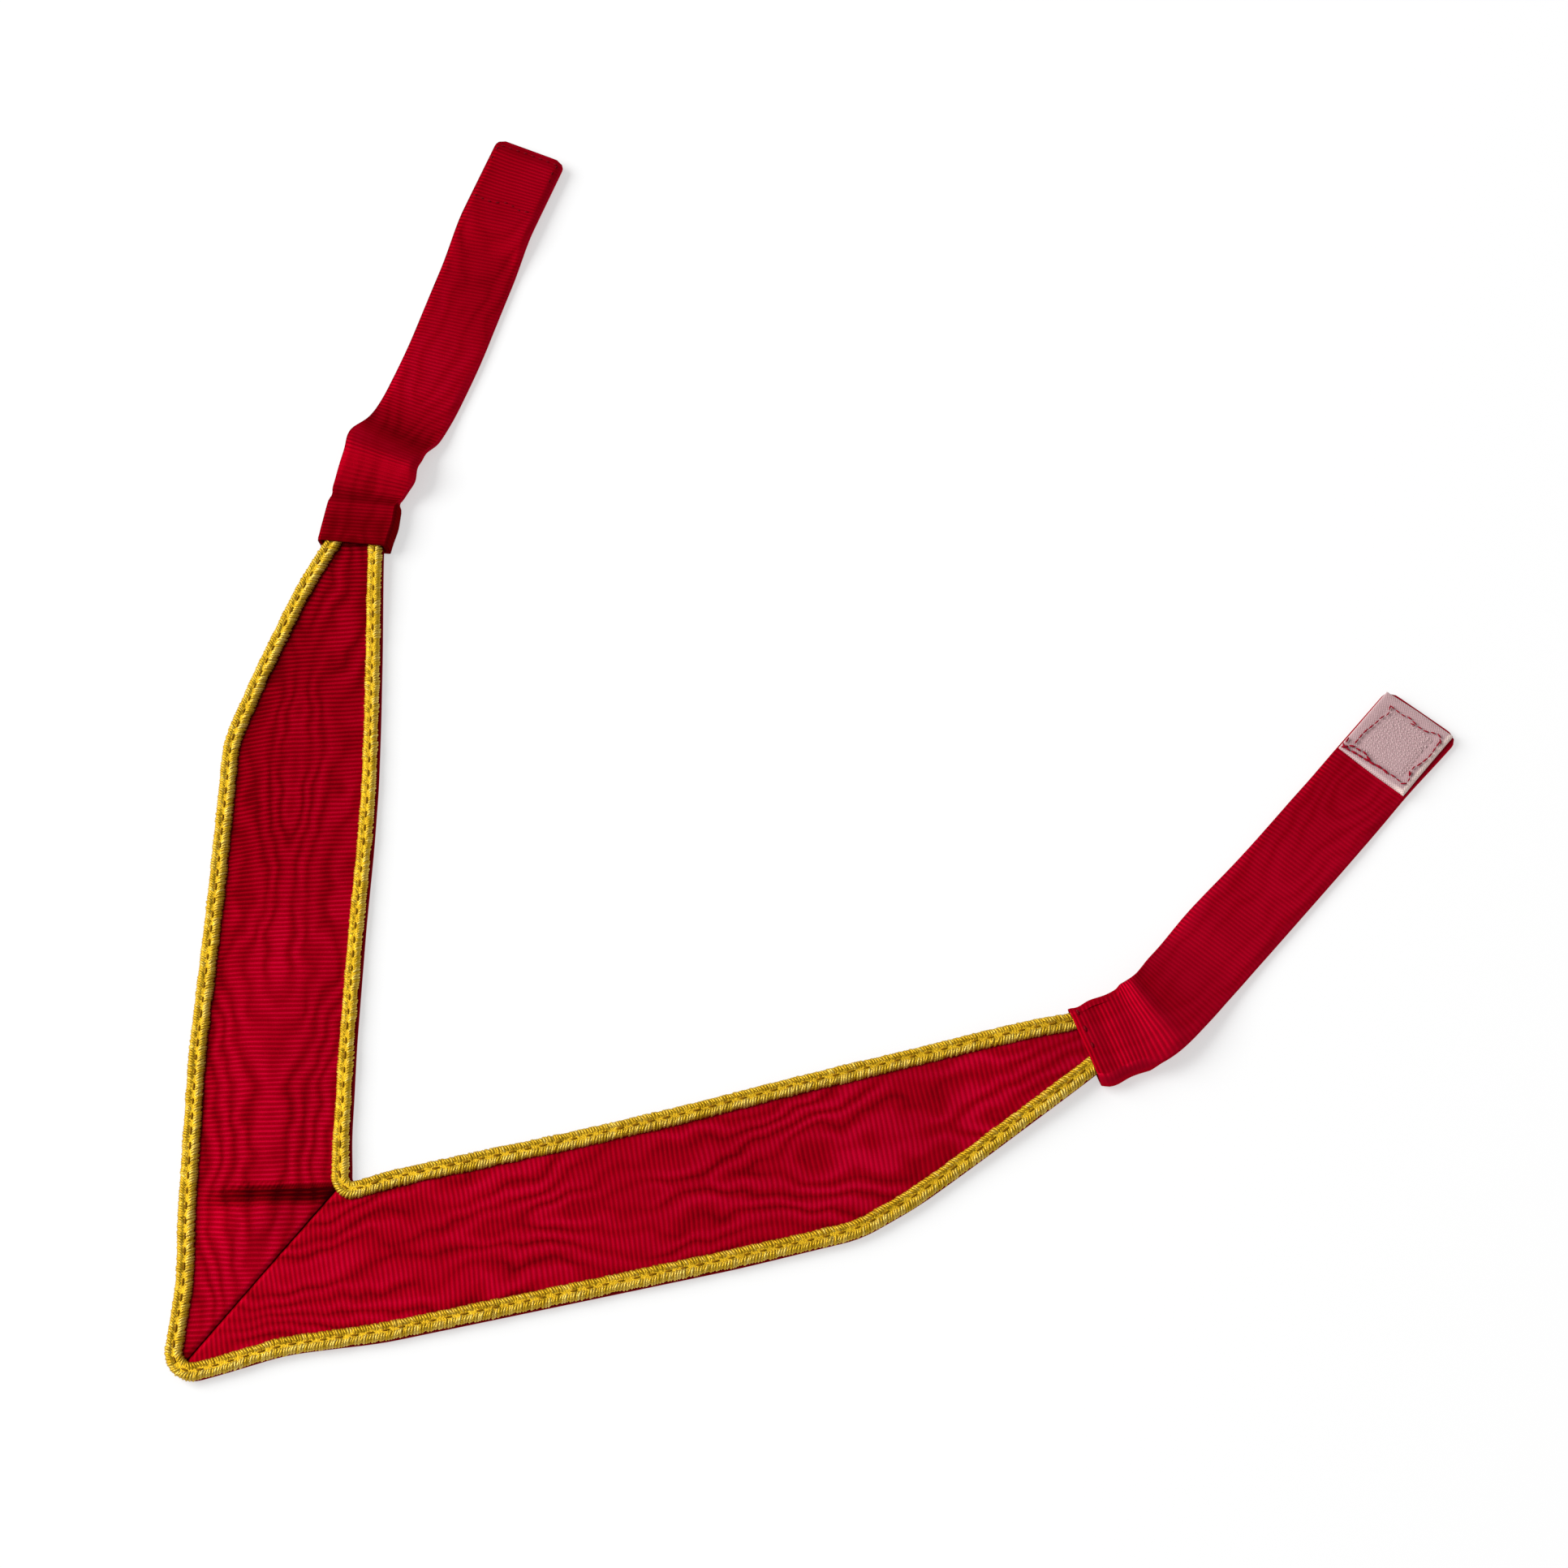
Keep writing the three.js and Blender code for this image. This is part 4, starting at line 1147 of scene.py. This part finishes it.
    def rings(self):
        """The strap's outside: rings of points with their cloth coordinates and painted shades.
        """
        flat = np.sin(np.linspace(-1, 1, FLAT_STEPS + 2) * math.pi / 2 * 0.96)[1:-1]
        arc = np.linspace(-math.pi / 2, math.pi / 2, WALL_STEPS)
        wall = np.ones(WALL_STEPS)
        rings, weaves, shades = [], [], []
        for k, d in enumerate(self.d):
            inner, outer, r = self.inner[k], self.outer[k], self.corner[k]
            q_flat = np.where(flat < 0, flat * (inner - r), flat * (outer - r))
            share = np.where(q_flat < 0, q_flat / inner, q_flat / outer)
            z_top, shade = self.top(np.full_like(share, d), share)
            in_z, out_z = (
                np.where(arc < 0, r, high - r) + r * np.sin(arc)
                for high in self.top(np.array([d, d]), np.array([-1.0, 1.0]))[0]
            )
            z_flat, q_side = 0 * q_flat, r * (1 - np.cos(arc))
            q = np.concatenate([q_flat, outer - q_side, q_flat[::-1], q_side[::-1] - inner])
            z = np.concatenate([z_flat, out_z, z_top[::-1], in_z[::-1]])
            xy = self.place[k] + self.out[k] * q[:, None]
            xy = xy + self.ahead[k] * (q * self.skew[k])[:, None]
            top, out_lit, in_lit = self.lit(d)
            lit = [z_flat, out_lit * wall, shade[::-1] + top, in_lit * wall]
            shades.append(np.concatenate(lit))
            rings.append(np.column_stack([xy, self.floor[k] + z]))
            weaves.append(np.column_stack([q, np.full_like(q, d), 0 * q]))
        return np.array(rings), np.array(weaves), np.array(shades)

    def pocket_rings(self):
        """The sleeve's inside, from the mouth to its closed end, with the same ring size."""
        rings, weaves = [], []
        for depth in (0.0, 0.25, 1.5, 5, 10, POCKET_DEPTH - 1, POCKET_DEPTH):
            flare = 0.15 if depth == 0 else 0
            half = self.half + (0.2 if depth == 0 else -1.0 if depth == POCKET_DEPTH else 0)
            low, high = SLEEVE_CLOTH - flare, POCKET_CEILING + flare
            r = self.traits["corners"][1]
            arc = np.linspace(-math.pi / 2, math.pi / 2, WALL_STEPS)
            q_side = r * (1 - np.cos(arc))
            z_side = np.where(arc < 0, low + r, high - r) + r * np.sin(arc)
            q_flat = np.linspace(-half + r, half - r, FLAT_STEPS + 2)[1:-1]
            q = np.concatenate([q_flat, half - q_side, q_flat[::-1], -half + q_side[::-1]])
            flat = np.ones(FLAT_STEPS)
            z = np.concatenate([low * flat, z_side, high * flat, z_side[::-1]])
            xy = self.middle + self.ahead0 * depth + self.out0 * q[:, None]
            rings.append(np.column_stack([xy, z]))
            weaves.append(np.column_stack([q, np.full_like(q, -depth), 0 * q + 1]))
        return np.array(rings), np.array(weaves)

    def piece(self, material):
        rings, weave, shade = self.rings()
        inside, inside_weave = self.pocket_rings()
        shade = np.concatenate([np.full(inside.shape[:2], INSIDE_SHADE), shade])
        rings = np.concatenate([inside[::-1], rings])
        weave = np.concatenate([inside_weave[::-1], weave])
        weave[..., 2] += self.traits["number"]
        return loft(f"strap_{self.arm.name}_silk", rings, weave, material, 60, shade)

    def pad_place(self):
        """The square's middle, and its ways across and ahead."""
        row = PADS[self.arm.name]
        ahead, out = self.ahead[-1], self.out[-1]
        centre = self.place[-1] - ahead * (row["from_end"] + 0.5) * PAD_SIZE
        centre = centre + out * row["aside"] * PAD_SIZE
        turn = math.radians(row["turn"]) * self.arm.sign
        c, s = math.cos(turn), math.sin(turn)
        ahead = np.array([c * ahead[0] - s * ahead[1], s * ahead[0] + c * ahead[1]])
        across = np.array([ahead[1], -ahead[0]])
        return centre, across, ahead

    def sewing_points(self, x, y, height):
        """Points over the square, by their place from the middle of its sewing."""
        centre, across, ahead = self.pad_place()
        x, y = x + SEWING_OFF[0], y + SEWING_OFF[1]
        xy = centre + across * x[:, None] + ahead * y[:, None]
        return np.column_stack([xy, np.full(len(xy), height)])


def pad_body(name, strap, low, high, material):
    """A sewn square of tape: thin at its cut edges, a little uneven, with sunk stitching."""
    centre, across, ahead = strap.pad_place()
    half, n = PAD_SIZE / 2 - PAD_TRIM, PAD_STEPS
    line = np.sin(np.linspace(-1, 1, n) * math.pi / 2 * 0.9)
    line = line / line[-1]
    x, y = np.meshgrid(line, line, indexing="ij")
    wobble_x = 0.18 * soft_noise(y * 3.1, 0.0 * y, 21) - 0.15
    wobble_y = 0.18 * soft_noise(x * 3.1, 0.0 * x, 22) - 0.15
    # The hook square's outer side is drawn out, and its near corner a little back.
    drawn = (x + 1) / 2 if strap.arm.name == "right" else 0 * x
    px = x * (half + wobble_x) + 0.9 * drawn
    py = y * (half + wobble_y) - 1.0 * drawn * (1 - y) / 2
    from_middle = np.maximum(np.abs(x), np.abs(y))
    top = high - PAD_SPARE - 0.5 * np.exp(-(1 - from_middle) * 30)
    top = top + 0.12 * soft_noise(x * 3, y * 3, 23)
    off_groove = (from_middle - SEAM_GROOVE_PLACE) / SEAM_GROOVE_SPREAD
    top = top - SEAM_GROOVE_DEPTH * np.exp(-(off_groove**2))
    top = np.minimum(top, high - 0.05)
    xy = centre + across * px[..., None] + ahead * py[..., None]
    points = [np.dstack([xy, z]).reshape(-1, 3) for z in (np.full_like(top, low), top)]
    weave = [np.dstack([px, py, 0 * px]).reshape(-1, 3)] * 2
    index = np.arange(n * n).reshape(n, n)
    quads = np.stack([index[:-1, :-1], index[1:, :-1], index[1:, 1:], index[:-1, 1:]], -1)
    quads = quads.reshape(-1, 4)
    rim = np.concatenate([index[:-1, 0], index[-1, :-1], index[:0:-1, -1], index[0, :0:-1]])
    after = np.roll(rim, -1)
    side = np.stack([rim, after, after + n * n, rim + n * n], axis=-1)
    faces = quads[:, ::-1].tolist() + (quads + n * n).tolist() + side.tolist()
    if np.cross(across, ahead) < 0:
        faces = [face[::-1] for face in faces]
    return add_mesh(name, np.concatenate(points), faces, np.concatenate(weave), material, 50)


def hook_field(name, strap, height, material, seed):
    """A field of small bent hooks inside the square's stitching."""
    line = np.linspace(-0.6, 0.6, HOOK_ROWS) * PAD_SIZE / 2
    x, y = (v.ravel() for v in np.meshgrid(line, line))
    sizes = {
        "Hook Radius": HOOK_RADIUS * MM,
        "Wire Radius": HOOK_WIRE * MM,
        "Seed": seed,
        "Material": material,
    }
    t = Growth(name, sizes)
    arch = t.arch(t.start["Hook Radius"], 7, -20, 230)
    hook = t.round_bar(arch, 4, t.start["Wire Radius"])
    dots = t.node("GeometryNodeMeshToPoints", {"Mesh": t.start["Geometry"]})
    wander = t.random((-0.3 * MM, -0.3 * MM, 0), (0.3 * MM, 0.3 * MM, 0))
    strewn = t.node("GeometryNodeSetPosition", {"Geometry": dots, "Offset": wander})
    spin = t.random((-0.3, -0.3, -0.5), (0.3, 0.3, 0.5), 5)
    placed = t.copies(strewn, hook, spin)
    return t.grow(path_object(name, strap.sewing_points(x, y, height)), placed)


def finish_piece(obj, slot, *nodes):
    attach(obj, "root")
    if nodes:
        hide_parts(*nodes)
    return obj


def add_cloth():
    """The lining, the two ribbons and the braid along their edges."""
    lining = lining_cloth("dark_lining", (0.24, 0.0, 0.004), (0.33, 0.0, 0.008))
    backing = finish_piece(backing_piece(lining), "backing_cloth", "backing")

    colors = (0.120, 0.0, 0.002), (0.27, 0.0, 0.006), (0.46, 0.001, 0.022)
    # Each arm's silk has its own figure strength and its own painted rib highlight, stronger on
    # the left arm.
    for arm, swirl, depth, rib_highlight in (LEFT, 0.65, 0.00012, 0.46), (RIGHT, 0.95, 0.00006, 0.22):
        silk = ribbed_silk(
            f"watered_ribbon_{arm.name}",
            colors,
            swirl=swirl,
            centre=RIBBON_WIDTH * 0.52,
            ribs=RIB_PITCH,
            depth=depth,
            rib_highlight=rib_highlight,
            patches=0.40,
        )
        ribbon = finish_piece(ribbon_piece(arm, silk), "ribbon", f"ribbon_{arm.name}")

    dark, middle, bright = (0.44, 0.25, 0.002), (0.57, 0.36, 0.012), (0.76, 0.57, 0.13)
    gold = gold_foil("gold_thread", dark, middle, bright, 0.52)
    dark, middle, bright = (0.40, 0.22, 0.002), (0.62, 0.38, 0.010), (0.80, 0.56, 0.060)
    gold_core = gold_foil("gold_core", dark, middle, bright, 0.5)
    brown_thread = sewing_thread("brown_thread", (0.20, 0.09, 0.0), (0.32, 0.16, 0.004))
    for which in ("outer", "inner"):
        braid = braid_piece(which, gold, gold_core, brown_thread)
        finish_piece(braid, "braid", f"braid_{which}")


def add_straps(straps):
    """The two straps and the stitches at their ends."""
    silk = ribbed_silk(
        "folded_ribbon",
        ((0.130, 0.0, 0.002), (0.26, 0.0, 0.006), (0.38, 0.001, 0.014)),
        swirl=0.38,
        centre=0.0,
        ribs=STRAP_RIB_PITCH,
        depth=0.00010,
        rib_highlight=0.20,
        patches=0.75,
    )
    for side, strap in straps.items():
        obj = finish_piece(strap.piece(silk), "strap_ribbon", f"strap_{side}")

    dark_thread = sewing_thread("dark_thread", (0.10, 0.0, 0.002), (0.2, 0.0, 0.006))
    hem = straps["right"].point(2.2, np.linspace(-0.78, 0.1, 20), 0.10)
    size = {"length": 2.1, "pitch": 3.9, "radius": 0.42}
    finish_piece(sewn("hem_stitches", hem, dark_thread, **size, seed=5), "strap_ribbon")
    size = {"length": 1.5, "pitch": 2.7, "radius": 0.22}
    end = straps["left"].d[-1]
    for number, row in enumerate(END_SEWING):
        left, share = np.array(row).T
        step = np.linspace(0, len(row) - 1, 24)
        left = np.interp(step, np.arange(len(row)), left)
        share = np.interp(step, np.arange(len(row)), share)
        line = straps["left"].point(end - left, share, 0.08)
        thread = sewn(f"end_stitches_{number}", line, dark_thread, **size, seed=number)
        finish_piece(thread, "strap_ribbon")


def add_squares(straps):
    """The hook square with its hooks and sewing, and the loop square under its strap."""
    tape = pad_weave("pale_tape", (0.40, 0.24, 0.25), (0.64, 0.44, 0.45))
    bristle = pad_weave("pale_hooks", (0.56, 0.40, 0.40), (0.74, 0.56, 0.55))
    red_thread = sewing_thread("red_thread", (0.20, 0.0, 0.008), (0.38, 0.01, 0.03))
    right = straps["right"]
    base = STRAP_THICKNESS + GAP
    low, high = STRAP_THICKNESS + 0.06, base + PAD_THICKNESS
    finish_piece(pad_body("hook_square", right, low, high, tape), "hook_tape", "hook_pad")
    loop = pad_body("loop_square", straps["left"], 0.05, PAD_THICKNESS, tape)
    finish_piece(loop, "loop_tape", "loop_pad")
    hooks = hook_field("hook_bristles", right, base + HOOK_LEVEL, bristle, 31)
    finish_piece(hooks, "hook_tape")
    for number, row in enumerate(PAD_SEWING):
        x, y = (np.array(row).T - 0.5) * PAD_SIZE
        far = np.concatenate([[0], np.cumsum(np.hypot(np.diff(x), np.diff(y)))])
        along = np.linspace(0, far[-1], max(6, int(far[-1] / 0.8)))
        x, y = np.interp(along, far, x), np.interp(along, far, y)
        x = x + 0.2 * soft_noise(along / 1.3, 0 * along, 71 + number)
        y = y + 0.2 * soft_noise(along / 1.3, 0 * along, 81 + number)
        line = right.sewing_points(x, y, base + PAD_THICKNESS - 0.25)
        tacked = number >= len(PAD_SEWING) - BACK_TACKS
        size = {"length": 2.4, "radius": 0.36} if tacked else {"length": 2.1, "radius": 0.24}
        name = f"pad_stitches_{number}"
        thread = sewn(name, line, red_thread, pitch=2.1, **size, seed=number)
        finish_piece(thread, "hook_tape")


add_camera()
add_studio()
add_cloth()
both_straps = {"left": Strap(LEFT), "right": Strap(RIGHT)}
add_straps(both_straps)
add_squares(both_straps)
